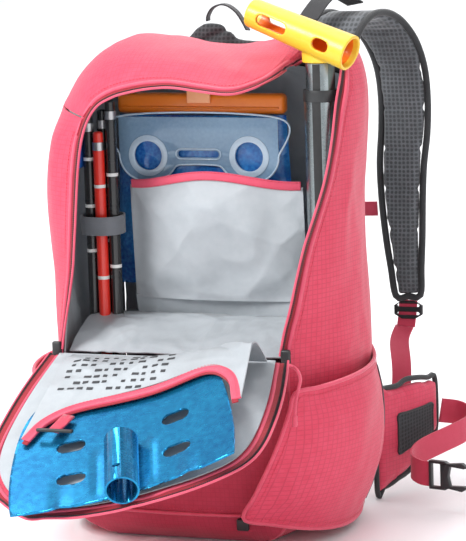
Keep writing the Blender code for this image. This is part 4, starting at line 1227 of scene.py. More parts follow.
def edge_line(node: str, inset: float, lift: float, way: Callable[[Vector], Vector],
              step: float = 0.004) -> list[Vector]:
    """Closed path along a shell's edge, on the side that faces a direction.

    Args:
        node: The shell's node.
        inset: Distance into the cloth.
        lift: Height over its surface.
        way: Gives the direction that the wanted side faces.
        step: Spacing of the points.

    Returns:
        The path.
    """
    ring = max(rims(node)[:2], key=lambda points: sum(p.normal.dot(way(p.place)) for p in points))
    return smooth_line([p.place + p.inward * inset + p.normal * lift for p in ring], step, True)


def eased(share: float) -> float:
    """Smooth step of a share held between 0 and 1."""
    held = min(max(share, 0.0), 1.0)
    return held * held * (3 - 2 * held)


def bag_outward(place: Vector) -> Vector:
    """Way out of the bag at a place on its shell."""
    way = Vector((place.x, 0.0, 1.7 * max(place.z - 0.33, 0.0)))
    return way.normalized() if way.length > 1e-6 else Vector((0.0, 0.0, 1.0))


def forward(_place: Vector) -> Vector:
    """Way out of the bag's open side."""
    return Vector((0.0, -1.0, 0.0))


@dataclass
class Wrinkles:
    """Folds that the cloth of a node falls into, fading out towards its sewn edges."""

    node: str
    depth: float
    scale: Colour
    lean: float = 0.0
    seed: float = 0.0
    sharp: float = 0.5
    margin: float = 0.005
    reach: float = 0.03
    way: Callable[[Vector], Vector] = bag_outward

    def field(self) -> Field:
        """Prepares the folds.

        Returns:
            The offset of a place on the cloth.
        """
        tree = edge_tree(self.node)

        def move(place: Vector, _normal: Vector) -> Vector:
            """Offset of one place."""
            fade = eased((tree.find(place)[2] - self.margin) / self.reach)
            height = folds(place, self.scale, self.seed, self.sharp) + self.lean
            return self.way(place) * (self.depth * fade * height)
        return move


UPRIGHT_MAP = ((0, 1, 0), (0, 0, 1))
FRONT_MAP = ((1, 0, 0), (0, 0, 1))
TOP_MAP = ((1, 0, 0), (0, 1, 0))


def cloth(node: str, finish: object, body: str, slot: str, axes: tuple = FRONT_MAP, levels: int = 2,
          field: Optional[Field] = None) -> bpy.types.Object:
    """Fine cloth in place of a coarse node.

    Args:
        node: The node it stands for.
        finish: Its finish.
        body: Its body.
        slot: Its material slot in the record.
        axes: Directions of its cloth map.
        levels: How finely it is divided.
        field: Folds to lay in it.

    Returns:
        The piece.
    """
    mesh = refined(node, levels)
    if field is not None:
        displace(mesh, field)
    LOG.info("cloth %s: %d faces", node, len(mesh.polygons))
    return settle(shown(node + "_cloth", map_cloth(mesh, *axes), finish), body, slot, node)


def plain(piece: bpy.types.Object, body: str, slot: str, *nodes: str) -> bpy.types.Object:
    """Settles a hard piece and reports it."""
    LOG.info("piece %s: %d faces", piece.name, len(piece.data.polygons))
    return settle(piece, body, slot, *nodes)


def carved(name: str, base: bpy.types.Mesh, joins: Sequence[bpy.types.Mesh], cuts: Sequence[bpy.types.Mesh],
           steps: Sequence[tuple] = ()) -> bpy.types.Mesh:
    """Joins solids to a solid and cuts others from it.

    Args:
        name: Name for the work.
        base: The solid to start from.
        joins: Solids to add.
        cuts: Solids to take away, after that.
        steps: Modifiers to run at the end.

    Returns:
        The finished mesh.
    """
    helpers, work = [], []
    for number, (tool, operation) in enumerate([(m, "UNION") for m in joins] + [(m, "DIFFERENCE") for m in cuts]):
        helpers.append(bpy.data.objects.new(f"{name}_tool_{number}", tool))
        bpy.context.scene.collection.objects.link(helpers[-1])
        work.append(("BOOLEAN", {"operation": operation, "solver": "EXACT", "object": helpers[-1]}))
    mesh = cooked(name, base, work + list(steps))
    for tool in helpers:
        bpy.data.objects.remove(tool)
    return mesh


def rod(radius: float, length: float, place: Matrix, top: Optional[float] = None, sides: int = 64,
        squeeze: float = 1.0) -> bpy.types.Mesh:
    """Round, coned or oval solid about the z axis of a place.

    Args:
        radius: Its radius at the bottom.
        length: Its length, centred.
        place: Matrix to the row's frame.
        top: Its radius at the top.
        sides: Faces round it.
        squeeze: Its depth as a share of its width.

    Returns:
        The mesh.
    """
    shape = bmesh.new()
    bmesh.ops.create_cone(shape, cap_ends=True, segments=sides, radius1=radius,
                          radius2=radius if top is None else top, depth=length,
                          matrix=place @ Matrix.Diagonal((1.0, squeeze, 1.0, 1.0)))
    mesh = bpy.data.meshes.new("rod")
    shape.to_mesh(mesh)
    shape.free()
    return mesh


def slot_block(half_long: float, half_wide: float, depth: float, place: Matrix) -> bpy.types.Mesh:
    """Solid slot with round ends, for cutting.

    Args:
        half_long: Half its length along x.
        half_wide: Half its width along y.
        depth: Its depth along z.
        place: Matrix to the row's frame.

    Returns:
        The mesh.
    """
    outline = slot_outline(half_long, half_wide)
    shape = bmesh.new()
    rings = [[shape.verts.new(place @ Vector((x, y, z))) for x, y in outline] for z in (-depth / 2, depth / 2)]
    count = len(outline)
    for i in range(count):
        n = (i + 1) % count
        shape.faces.new((rings[0][i], rings[0][n], rings[1][n], rings[1][i]))
    shape.faces.new(rings[0][::-1])
    shape.faces.new(rings[1])
    bmesh.ops.recalc_face_normals(shape, faces=shape.faces)
    mesh = bpy.data.meshes.new("slot")
    shape.to_mesh(mesh)
    shape.free()
    return mesh


# Sub-assemblies --------------------------------------------------------------------------------

@dataclass
class BagShell:
    """Outer cloth of the bag, with its seams and the zip round its opening."""

    fold_depth: float = 0.0046
    seam_gap: float = 0.009
    piping_radius: float = 0.0021
    stitch_inset: float = 0.0065
    tape_width: float = 0.0095
    tooth_reach: float = 0.0034

    def build(self) -> None:
        """Makes the panels, the lower front, the floor and the zip."""
        panels = (("side_panel_left", UPRIGHT_MAP, (9, 24, 9)), ("top_panel", TOP_MAP, (19, 8, 12)),
                  ("side_panel_right", UPRIGHT_MAP, (9, 24, 9)))
        for number, (node, axes, scale) in enumerate(panels):
            creases = Wrinkles(node, self.fold_depth, scale, 0.3, seed=4.1 + 7.3 * number, sharp=0.35)
            cloth(node, CORAL, "pack", "coral_ripstop", axes, 3, creases.field())
            middle = edge_line(node, 0.0, -0.00125, bag_outward)
            others = [n for n, _, _ in panels if n != node]
            for part, run in enumerate(self.open_runs(middle, others)):
                piping = BENCH.tube(f"{node}_piping_{part}", run, self.piping_radius, PIPING)
                plain(piping, "pack", "coral_piping")
            seam = edge_line(node, self.stitch_inset, 0.0002, bag_outward, 0.003)
            for part, run in enumerate(self.open_runs(seam, others)):
                plain(BENCH.stitches(f"{node}_stitches_{part}", run, CORAL_THREAD), "pack", "coral_ripstop")
        self.lower_front()
        self.zip("zip_track_body", [n for n, _, _ in panels], "pack")

    def open_runs(self, ring: Sequence[Vector], others: Sequence[str]) -> list[list[Vector]]:
        """Cuts a ring where its panel meets another panel, and keeps it off the ground.

        Args:
            ring: Closed path.
            others: Nodes of the other panels.

        Returns:
            The open runs that are left.
        """
        trees = [edge_tree(node) for node in others]
        free = [all(tree.find(p)[2] > self.seam_gap + self.stitch_inset for tree in trees) for p in ring]
        if all(free):
            return [list(ring)]
        first = free.index(False)
        runs: list[list[Vector]] = [[]]
        for step in range(len(ring)):
            place = (first + step) % len(ring)
            if free[place]:
                spot = ring[place]
                runs[-1].append(Vector((spot.x, spot.y, max(spot.z, self.piping_radius + 0.0005))))
            elif runs[-1]:
                runs.append([])
        return [run for run in runs if len(run) > 4]

    def lower_front(self) -> None:
        """Makes the closed front under the flap, in coral darkened as painted shadow of the flap, and the floor of
        the bag.
        """
        creases = Wrinkles("front_lower_panel", 0.003, (12, 12, 26), -0.3, seed=2.2, way=forward)
        # The lower front takes coral darkened as painted shadow of the flap.
        cloth("front_lower_panel", CORAL_PAINTED_FLAP_SHADOW, "pack", "deep_red_fabric", FRONT_MAP, 3, creases.field())
        low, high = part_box("front_lower_panel")
        shape = BVHTree.FromPolygons(*faces_of(frame["nodes"]["front_lower_panel"].data))
        for number, height in enumerate((0.032, 0.037)):
            line = []
            for i in range(61):
                x = low.x + 0.030 + (high.x - low.x - 0.060) * i / 60
                hit = shape.ray_cast(Vector((x, -0.3, height)), Vector((0, 1, 0)))[0]
                if hit:
                    line.append(hit + Vector((0.0, -0.0016, 0.0)))
            if number == 0:
                seam = BENCH.tube("front_seam_piping", line, 0.0016, PIPING)
            else:
                seam = BENCH.stitches("front_seam_stitches", line, CORAL_THREAD)
            plain(seam, "pack", "coral_piping")
        mesh = bpy.data.meshes.new("base")
        shape = welded("base_panel")
        shape.to_mesh(mesh)
        shape.free()
        mesh = cooked("base", mesh, [("BEVEL", {"width": 0.001, "segments": 3, "limit_method": "ANGLE"})])
        plain(shown("base_cloth", map_cloth(mesh, *TOP_MAP), DUSKY), "pack", "base_fabric", "base_panel")

    def zip(self, node: str, panels: Sequence[str], body: str) -> None:
        """Makes a zip's tape, teeth and welts along a track.

        Args:
            node: The track's node.
            panels: Shells that it is sewn to.
            body: The body it moves with.
        """
        line = smooth_line(centreline(node, 0.0015), 0.004)
        points = [p for panel in panels for ring in rims(panel)[:2] for p in ring]
        tree = KDTree(len(points))
        for number, point in enumerate(points):
            tree.insert(point.place, number)
        tree.balance()
        into = []
        for spot in line:
            near = [points[number] for _, number, _ in tree.find_n(spot, 4)]
            into.append(sum((p.inward for p in near), Vector()).normalized())
        into = [sum(into[max(i - 3, 0):i + 4], Vector()).normalized() for i in range(len(into))]
        tape = ribbon(body + "_zip_tape", line, into, self.tape_width, 0.0007, DARK_TAPE, 4)
        plain(tape, body, "deep_red_fabric", node)
        for label, reach, radius in (("outer", 0.0044, 0.0017), ("inner", -0.0060, 0.0012)):
            path = [p + way * reach for p, way in zip(line, into)]
            plain(BENCH.tube(f"{body}_zip_{label}_welt", path, radius, PIPING), body, "coral_piping")
        path = [p - way * self.tooth_reach for p, way in zip(line, into)]
        plain(BENCH.teeth(body + "_zip_teeth", path, BLACK_PLASTIC), body, "black_plastic")


def faces_of(mesh: bpy.types.Mesh) -> tuple:
    """Vertices and faces of a mesh, for a search tree."""
    return [v.co.copy() for v in mesh.vertices], [tuple(p.vertices) for p in mesh.polygons]


@dataclass
class Interior:
    """Lining, compartment floor and reservoir pocket."""

    def build(self) -> None:
        """Makes every lining cloth with its wrinkles."""
        def inward(place: Vector) -> Vector:
            """Way into the bag."""
            return -bag_outward(place)

        creases = Wrinkles("lining_shell", 0.0018, (22, 26, 26), 0.45, 9.4, 0.75, 0.002, 0.02, inward)
        cloth("lining_shell", LINING, "pack", "lining_fabric", UPRIGHT_MAP, 3, creases.field())
        creases = Wrinkles("compartment_floor", 0.0030, (20, 24, 10), 0.3, 3.1, 0.7, 0.002, 0.02,
                           lambda _p: Vector((0, 0, 1)))
        self.sheet("compartment_floor", lambda low, high: (
            lambda a, b: Vector((low.x + (high.x - low.x) * a, low.y + (high.y - low.y) * b,
                                 0.184 + 0.020 * math.sin(math.pi * min(1.0, 1.25 * b)) + 0.010 * b
                                 + 0.0026 * folds(Vector((a * 0.2, b * 0.2, 0.3)), (30, 34, 1), 1.7, 0.7)))), 72)
        self.back()
        creases = Wrinkles("reservoir_pocket", 0.0075, (11, 9, 13), 0.6, 6.6, 0.6, 0.001, 0.03, forward)
        cloth("reservoir_pocket", LINING, "pack", "lining_fabric", FRONT_MAP, 3, creases.field())
        low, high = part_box("reservoir_pocket")
        foot = [v.co.y for v in frame["nodes"]["reservoir_pocket"].data.vertices if v.co.z < low.z + 0.004]
        middle = sum(foot) / len(foot) + 0.003
        skirt = grid_sheet("reservoir_pocket_skirt", lambda a, b: Vector((
            low.x + (high.x - low.x) * a, middle + 0.010 * (1 - b), 0.188 + 0.0365 * b)), 40, 8, 0.0012, LINING,
            (0.18, 0.037))
        plain(skirt, "pack", "lining_fabric")
        hem = smooth_line(centreline("reservoir_pocket_hem", 0.0028), 0.004)
        band = [p + Vector((0, -0.0006, -0.0022)) for p in hem]
        plain(ribbon("pocket_hem_tape", band, [Vector((0, 0, 1))], 0.0085, 0.0022, PIPING, 6, 0.0006), "pack",
              "coral_piping", "reservoir_pocket_hem")
        for shift in (0.0012, -0.0056):
            row = [p + Vector((0, -0.0026, shift)) for p in hem]
            plain(BENCH.stitches(f"pocket_hem_stitches_{'low' if shift < 0 else 'high'}", row, CORAL_THREAD),
                  "pack", "coral_piping")

    def sheet(self, node: str, shape: Callable, cells: int) -> None:
        """Makes one sheet from a surface over a node's box.

        Args:
            node: The node it stands for.
            shape: Gives the surface from the box's corners.
            cells: Faces along each side.
        """
        low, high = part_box(node)
        piece = grid_sheet(node + "_cloth", shape(low, high), cells, cells, 0.0012, LINING,
                           (high.x - low.x, high.y - low.y))
        plain(piece, "pack", "lining_fabric", node)

    def back(self) -> None:
        """Makes the lining against the back, cut to the arch of the bag."""
        low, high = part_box("lining_back")
        spots = [v.co for v in frame["nodes"]["lining_back"].data.vertices]
        outline = sorted(spots, key=lambda p: p.z)

        def reach(sign: int, height: float) -> float:
            """Half width of the outline at a height."""
            side = [p for p in outline if p.x * sign > 0]
            below = max((p for p in side if p.z <= height), key=lambda p: p.z, default=side[0])
            above = min((p for p in side if p.z >= height), key=lambda p: p.z, default=side[-1])
            share = (height - below.z) / max(above.z - below.z, 1e-6)
            return below.x + (above.x - below.x) * min(max(share, 0), 1)

        def surface(a: float, b: float) -> Vector:
            """Point of the wrinkled lining."""
            z = low.z + 0.001 + (high.z - low.z - 0.016) * b
            x = reach(-1, z) * 1.01 * (1 - a) + reach(1, z) * 1.01 * a
            return Vector((x, high.y - 0.0012 - 0.003 * abs(folds(Vector((x, 0, z)), (24, 1, 22), 5.2, 0.7)), z))

        piece = grid_sheet("lining_back_cloth", surface, 60, 90, 0.001, LINING, (0.25, 0.45), 1.0)
        plain(piece, "pack", "lining_fabric", "lining_back")


@dataclass
class Reservoir:
    """Drinking reservoir: film bag, slide bar, clip tab and its clear handle."""

    ring_x: float = 0.052
    ring_z: float = -0.038
    hole: float = 0.0145
    lobe: float = 0.026

    def build(self) -> None:
        """Makes the four pieces."""
        creases = Wrinkles("reservoir_bag", 0.0016, (26, 30, 26), 0.0, 8.8, 0.6, 0.0, 0.02, forward)
        cloth("reservoir_bag", FILM_BLUE, "pack", "reservoir_film", FRONT_MAP, 3, creases.field())
        low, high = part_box("reservoir_slide_bar")
        bar = rounded_box("slide_bar", low, high, ORANGE_AND_PAINTED_GRIP_SHADE, 0.0052)
        plain(bar, "slide_bar", "orange_plastic", "reservoir_slide_bar")
        groove = [Vector((low.x + 0.006 + (high.x - low.x - 0.012) * i / 40, low.y - 0.0002, low.z + 0.0065))
                  for i in range(41)]
        plain(BENCH.tube("slide_bar_rail", groove, 0.0011, ORANGE_AND_PAINTED_GRIP_SHADE), "slide_bar", "orange_plastic")
        low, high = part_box("reservoir_clip_tab")
        tab = rounded_box("clip_tab", low, high, PEACH, 0.0011)
        plain(tab, "pack", "peach_plastic", "reservoir_clip_tab")
        self.handle()

    def outline(self, half: float) -> list:
        """Edge of the handle, waisted between its two rings."""
        side = [(-half, 0.0), (-half, self.ring_z)]
        for i in range(1, 19):
            turn = math.pi * (1 + 0.80 * i / 18)
            side.append((-self.ring_x + (half - self.ring_x) * math.cos(turn),
                         self.ring_z + self.lobe * math.sin(turn)))
        side += [(-0.022, -0.0475), (-0.012, -0.0465), (0.0, -0.0462)]
        return side + [(-x, z) for x, z in side[:-1]][::-1]

    def handle(self) -> None:
        """Makes the clear plate with its rolled rims."""
        low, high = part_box("reservoir_handle")
        place = upright((low.x + high.x) / 2, (low.y + high.y) / 2, high.z)
        rings = [(s * self.ring_x, self.ring_z) for s in (-1, 1)]
        edge = self.outline((high.x - low.x) / 2)
        holes = [oval(self.hole, self.hole, 48, r) for r in rings]
        holes.append(slot_outline(0.021, 0.0032, (0.0, self.ring_z + 0.002)))
        plate = flat_plate("reservoir_handle_sheet", [edge] + holes, 0.0012, place, CLEAR_SHEET, 0.0003)
        plain(plate, "pack", "clear_plastic", "reservoir_handle")
        for number, (x, z) in enumerate(rings):
            band = [oval(radius, radius, 64, (x, z)) for radius in (self.hole + 0.0056, self.hole - 0.0002)]
            ring = flat_plate(f"handle_ring_{number}", band, 0.0028, place, CLEAR_RIM, 0.0009)
            plain(ring, "pack", "clear_plastic")
        path = [place @ Vector((x, z, 0.0006)) for x, z in edge]
        plain(BENCH.tube("handle_edge", smooth_line(path, 0.002, True), 0.001, CLEAR_RIM, True), "pack",
              "clear_plastic")
        path = [place @ Vector((x, z, 0.0008)) for x, z in slot_outline(0.023, 0.005, (0.0, self.ring_z + 0.002))]
        plain(BENCH.tube("handle_slot_rim", path, 0.0008, CLEAR_RIM, True), "pack", "clear_plastic")


@dataclass
class Probe:
    """Folded probe: four tubes, their marks and ferrules, the pull cable and the elastic that holds them."""

    mark: float = 0.0016
    cap: float = 0.010

    def build(self) -> None:
        """Makes the tubes, then what is on them."""
        marks = {"probe_tube_left": (0.271, 0.315, 0.361), "probe_tube_red": (0.245, 0.335),
                 "probe_tube_right": (0.256, 0.300, 0.346), "probe_tube_rear": (0.28,)}
        for node, heights in marks.items():
            finish = PROBE_RED if node.endswith("red") else PROBE_BLACK
            self.tube(node, finish, heights)
        low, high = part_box("probe_pull_grip")
        grip = rounded_box("pull_grip", low, high, GRIP_BLUE, 0.0024)
        plain(grip, "probe", "probe_grip_blue", "probe_pull_grip")
        middle = (low + high) / 2
        route = [middle + Vector((0.001, -0.002, dz)) for dz in (-0.004, 0.012, 0.026, 0.036)]
        route += [Vector((-0.1155, -0.022, 0.402)), Vector((-0.1145, -0.020, 0.395))]
        cable = BENCH.tube("pull_cable", smooth_line(route, 0.002), 0.0012, BLACK_RUBBER)
        plain(cable, "probe", "black_plastic")
        for height in (0.358, 0.366, 0.374, 0.382, 0.390):
            row = [Vector((x, low.y - 0.0003, height)) for x in (low.x + 0.0015, middle.x, high.x - 0.0015)]
            plain(BENCH.tube(f"grip_rib_{round(height * 1000)}", row, 0.0007, GRIP_BLUE), "probe",
                  "probe_grip_blue")
        creases = Wrinkles("probe_loop", 0.0004, (60, 60, 60), 0.0, 1.0, 0.5, 0.0, 0.004, forward)
        cloth("probe_loop", ELASTIC, "pack", "grey_elastic", FRONT_MAP, 3, creases.field())

    def tube(self, node: str, finish: object, heights: Sequence[float]) -> None:
        """Makes one tube with its ferrule, cap and marks.

        Args:
            node: The tube's node.
            finish: Its coating.
            heights: Where its marks are.
        """
        low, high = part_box(node)
        radius = (high.x - low.x) / 2
        place = Matrix.Translation(((low.x + high.x) / 2, (low.y + high.y) / 2, 0.0))
        edge = 0.0012
        profile = [(0.0, low.z), (radius - edge, low.z), (radius, low.z + edge), (radius, high.z - self.cap),
                   (radius - 0.0007, high.z - self.cap + 0.0003), (radius - 0.0007, high.z - edge),
                   (radius - 0.0007 - edge, high.z), (0.0025, high.z), (0.0022, high.z - 0.004),
                   (0.0, high.z - 0.004)]
        plain(lathe(node + "_fine", profile, place, finish), "probe",
              "probe_red" if finish is PROBE_RED else "probe_black", node)
        for number, height in enumerate(heights):
            ring = [(radius - 0.0004, height - self.mark), (radius + 0.00012, height - self.mark),
                    (radius + 0.00012, height + self.mark), (radius - 0.0004, height + self.mark),
                    (radius - 0.0004, height - self.mark)]
            plain(lathe(f"{node}_mark_{number}", ring, place, WHITE_MARK), "probe", "probe_black")
        ferrule = [(radius - 0.0004, high.z - self.cap - 0.008), (radius + 0.0002, high.z - self.cap - 0.008),
                   (radius + 0.0002, high.z - self.cap), (radius - 0.0004, high.z - self.cap),
                   (radius - 0.0004, high.z - self.cap - 0.008)]
        plain(lathe(node + "_ferrule", ferrule, place, STEEL), "probe", "spring_steel")


@dataclass
class ShovelShaft:
    """Telescopic shaft: lower tube with its stripes, one of them painted shade on a facet, upper tube, lock button
    and T grip with painted shade in its bore.
    """

    wall: float = 0.0014
    stripe: tuple[float, float] = (-108.0, -77.5)
    # Angles of the dark facet strip, which is painted shade where the tube turns away from the light.
    facet: tuple[float, float] = (-44.0, 16.0)
    grip_length: float = 0.112
    grip_radii: tuple[float, float] = (0.0140, 0.0172)
    grip_wall: float = 0.0030
    grip_tilt: float = math.radians(19)
    grip_turn: float = math.radians(12)
    grip_middle: Colour = (-0.016, -0.006, 0.4835)

    def build(self) -> None:
        """Makes the tubes, the button and the grip."""
        for node, body in (("shaft_lower_tube", "shaft"), ("shaft_upper_tube", "grip")):
            low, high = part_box(node)
            middle, half = (low + high) / 2, (high - low) / 2
            outlines = [oval(half.x, half.y, 96), oval(half.x - self.wall, half.y - self.wall, 96)]
            tube = flat_plate(node + "_fine", outlines, 2 * half.z, Matrix.Translation(middle), SILVER, 0.0003)
            plain(tube, body, "silver_aluminium", node)
            # The facet strip is painted shade, laid where the tube's facet turns from the light.
            for label, turns, finish in (("stripe", self.stripe, BLACK_RUBBER), ("facet", self.facet, FACET_PAINTED_SHADE)):
                self.strip(f"{node}_{label}", middle, half, turns, finish, body)
        low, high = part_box("shaft_lower_tube")
        middle, half = (low + high) / 2, (high - low) / 2
        collar = [(x * 1.0, y) for x, y in oval(half.x + 0.0009, half.y + 0.0009, 96)]
        inner = oval(half.x - 0.0002, half.y - 0.0002, 96)
        place = Matrix.Translation((middle.x, middle.y, high.z - 0.005))
        ring = flat_plate("shaft_collar", [collar, inner], 0.011, place, BLACK_PLASTIC, 0.0005)
        plain(ring, "shaft", "black_plastic")
        self.button()
        self.grip(Vector((middle.x, middle.y, 0.0)), half)

    def strip(self, name: str, middle: Vector, half: Vector, turns: tuple, finish: object, body: str) -> None:
        """Lays a coloured strip on an oval tube: a black stripe, or painted shade on a facet.

        Args:
            name: The piece's name.
            middle: Middle of the tube.
            half: Half its size.
            turns: Angles in degrees where the strip starts and ends.
            finish: Its finish.
            body: The tube's body.
        """
        first, last = (math.radians(t) for t in turns)

        def surface(a: float, b: float) -> Vector:
            """Point a hair over the tube."""
            turn = first + (last - first) * a
            return Vector((middle.x + (half.x + 0.00015) * math.cos(turn),
                           middle.y + (half.y + 0.00015) * math.sin(turn),
                           middle.z + (half.z - 0.0006) * (2 * b - 1)))

        strip = grid_sheet(name, surface, 20, 12, 0.0003, finish, (0.02, 2 * half.z))
        plain(strip, body, "silver_aluminium")

    def button(self) -> None:
        """Makes the domed lock button."""
        low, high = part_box("shaft_lock_button")
        radius, depth = (high.x - low.x) / 2, high.y - low.y
        place = (Matrix.Translation(((low.x + high.x) / 2, low.y, (low.z + high.z) / 2))
                 @ Matrix.Rotation(math.radians(-90), 4, "X"))
        profile = [(0.0, 0.0), (radius, 0.0), (radius, depth * 0.5), (radius * 0.92, depth * 0.8),
                   (radius * 0.6, depth), (radius * 0.3, depth * 0.93), (0.0, depth * 0.9)]
        plain(lathe("lock_button_dome", profile, place, BLACK_PLASTIC), "lock_button", "black_plastic",
              "shaft_lock_button")

    def grip(self, shaft: Vector, half: Vector) -> None:
        """Makes the hollow T grip, moulded in one with its stem, and lines its bore with an orange skin that is
        painted shade.

        Args:
            shaft: Middle of the shaft, on the ground.
            half: Half the lower tube's size.
        """
        lie = (Matrix.Translation(shaft + Vector(self.grip_middle)) @ Matrix.Rotation(-self.grip_turn, 4, "Z")
               @ Matrix.Rotation(self.grip_tilt, 4, "Y") @ Matrix.Rotation(math.radians(90), 4, "Y"))
        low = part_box("t_grip")[0].z + 0.0062
        top = self.grip_middle[2] - 0.004
        stem = rod(half.x + 0.001, top - low, Matrix.Translation(shaft + Vector((0, 0, (top + low) / 2))),
                   squeeze=(half.y + 0.001) / (half.x + 0.001))
        first, last = self.grip_radii
        bore = rod(first - self.grip_wall, self.grip_length + 0.02, lie, last - self.grip_wall)
        cuts = [bore]
        for shift, length in ((-0.026, 0.017), (0.030, 0.009)):
            turned = (lie @ Matrix.Translation((0, 0, shift)) @ Matrix.Rotation(math.radians(90), 4, "Y")
                      @ Matrix.Rotation(math.radians(90), 4, "X"))
            cuts.append(slot_block(length, 0.0055, 0.05, turned))
        finish = [("REMESH", {"mode": "VOXEL", "voxel_size": 0.0009}), ("SMOOTH", {"factor": 0.5, "iterations": 7})]
        mesh = carved("grip", rod(first, self.grip_length, lie, last), [stem], cuts, finish)
        grip = shown("t_grip_moulding", map_cloth(mesh, *FRONT_MAP), YELLOW)
        plain(grip, "grip", "yellow_plastic", "t_grip")
        # The orange sleeve inside the bore is painted shade: it stands for the darker, warmer look of the yellow
        # grip's inside.
        inner = [(first - self.grip_wall - 0.0004, -0.050), (first - self.grip_wall + 0.0006, -0.050),
                 (last - self.grip_wall + 0.0004, 0.050), (last - self.grip_wall - 0.0006, 0.050),
                 (first - self.grip_wall - 0.0004, -0.050)]
        shade_sleeve = lathe("t_grip_inner_skin", inner, lie, ORANGE_AND_PAINTED_GRIP_SHADE, 64)
        mesh = carved("skin", shade_sleeve.data, [], cuts[1:])
        mesh.materials.clear()
        mesh.materials.append(ORANGE_AND_PAINTED_GRIP_SHADE.material())
        shade_sleeve.data = mesh
        plain(shade_sleeve, "grip", "orange_plastic")


ABOVE_FLAP = Vector((0.0, -math.sin(math.radians(27)), math.cos(math.radians(27))))
ALONG_FLAP = Vector((0.0, -math.cos(math.radians(27)), -math.sin(math.radians(27))))


@dataclass
class Flap:
    """Open front flap with its lining, blade pocket, zip half and wordless care print."""

    def build(self) -> None:
        """Makes the cloths, the hem, the tab, the zip and the print."""
        def up(_place: Vector) -> Vector:
            """Way up from the flap."""
            return ABOVE_FLAP

        axes = ((1, 0, 0), tuple(ALONG_FLAP))
        creases = Wrinkles("front_flap", 0.0022, (9, 12, 12), -0.25, 12.0, 0.4, 0.004, 0.03, up)
        cloth("front_flap", CORAL, "flap", "coral_ripstop", axes, 3, creases.field())
        creases = Wrinkles("flap_lining", 0.0026, (17, 20, 20), 0.55, 5.0, 0.75, 0.002, 0.02, up)
        cloth("flap_lining", LINING, "flap", "lining_fabric", axes, 3, creases.field())
        creases = Wrinkles("blade_pocket", 0.0026, (18, 24, 24), 0.3, 15.0, 0.75, 0.003, 0.02, up)
        pocket = cloth("blade_pocket", LINING, "flap", "lining_fabric", axes, 3, creases.field())
        self.hem()
        tab = cloth("blade_tab", CORAL_WEB, "flap", "coral_webbing", axes, 2)
        low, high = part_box("blade_tab")
        bar = rounded_box("blade_tab_bar", Vector((low.x - 0.010, low.y - 0.001, low.z + 0.0010)),
                          Vector((high.x + 0.008, low.y + 0.0035, low.z + 0.0040)), BLACK_PLASTIC, 0.0009)
        plain(bar, "flap", "black_plastic")
        BagShell().zip("zip_track_flap", ["front_flap"], "flap")
        self.care_print(pocket)
        seam = edge_line("front_flap", 0.0075, 0.0003, lambda p: -ABOVE_FLAP, 0.003)
        plain(BENCH.stitches("flap_stitches", seam, CORAL_THREAD, True), "flap", "coral_ripstop")
        LOG.info("tab %s", tab.name)

    def hem(self) -> None:
        """Makes the folded hem of the blade pocket."""
        line = smooth_line(centreline("blade_pocket_hem", 0.0028), 0.004)
        plain(ribbon("blade_pocket_binding", line, [ALONG_FLAP], 0.0092, 0.0024, PIPING, 6, 0.0008), "flap",
              "coral_piping", "blade_pocket_hem")
        under = [p + ALONG_FLAP * 0.0045 - ABOVE_FLAP * 0.0012 for p in line]
        plain(ribbon("blade_pocket_under_fold", under, [ALONG_FLAP], 0.006, 0.0012, DARK_TAPE, 4), "flap",
              "deep_red_fabric")
        row = [p + ABOVE_FLAP * 0.0021 - ALONG_FLAP * 0.0022 for p in line]
        plain(BENCH.stitches("blade_pocket_stitches", row, CORAL_THREAD), "flap", "coral_piping")

    def care_print(self, pocket: bpy.types.Object) -> None:
        """Prints rows of plain dashes on the blade pocket.

        Args:
            pocket: The pocket's cloth.
        """
        shape = BVHTree.FromPolygons(*faces_of(pocket.data))
        low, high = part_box("blade_pocket")
        hinge = pivot("flap_hinge")

        def laid(u: float, w: float) -> Optional[Vector]:
            """Point on the pocket over a place on the flap."""
            start = hinge + Vector((u, 0, 0)) + ALONG_FLAP * w + ABOVE_FLAP * 0.12
            hit = shape.ray_cast(start, -ABOVE_FLAP)[0]
            return hit + ABOVE_FLAP * 0.0005 if hit else None

        strokes = bmesh.new()
        for row in range(7):
            w = 0.024 + 0.0085 * row
            for column in range(11):
                turn = math.sin(row * 12.9898 + column * 78.233) * 43758.5453
                length = 0.0035 + 0.0040 * (turn - math.floor(turn))
                u = -0.080 + 0.0098 * column + 0.0015 * (row % 3)
                if (row + column) % 5 == 0 or u > 0.025:
                    continue
                corners = [laid(u, w), laid(u + length, w), laid(u + length, w + 0.0030), laid(u, w + 0.0030)]
                if all(corners):
                    strokes.faces.new([strokes.verts.new(c) for c in corners])
        mesh = bpy.data.meshes.new("care_print")
        strokes.to_mesh(mesh)
        strokes.free()
        mesh = cooked("care_print", mesh, [("SOLIDIFY", {"thickness": 0.0003, "offset": 1.0})])
        plain(shown("care_print", map_cloth(mesh, *FRONT_MAP), PRINT_DARK), "flap", "lining_fabric")
        LOG.info("print laid between %.3f and %.3f", low.x, high.x)


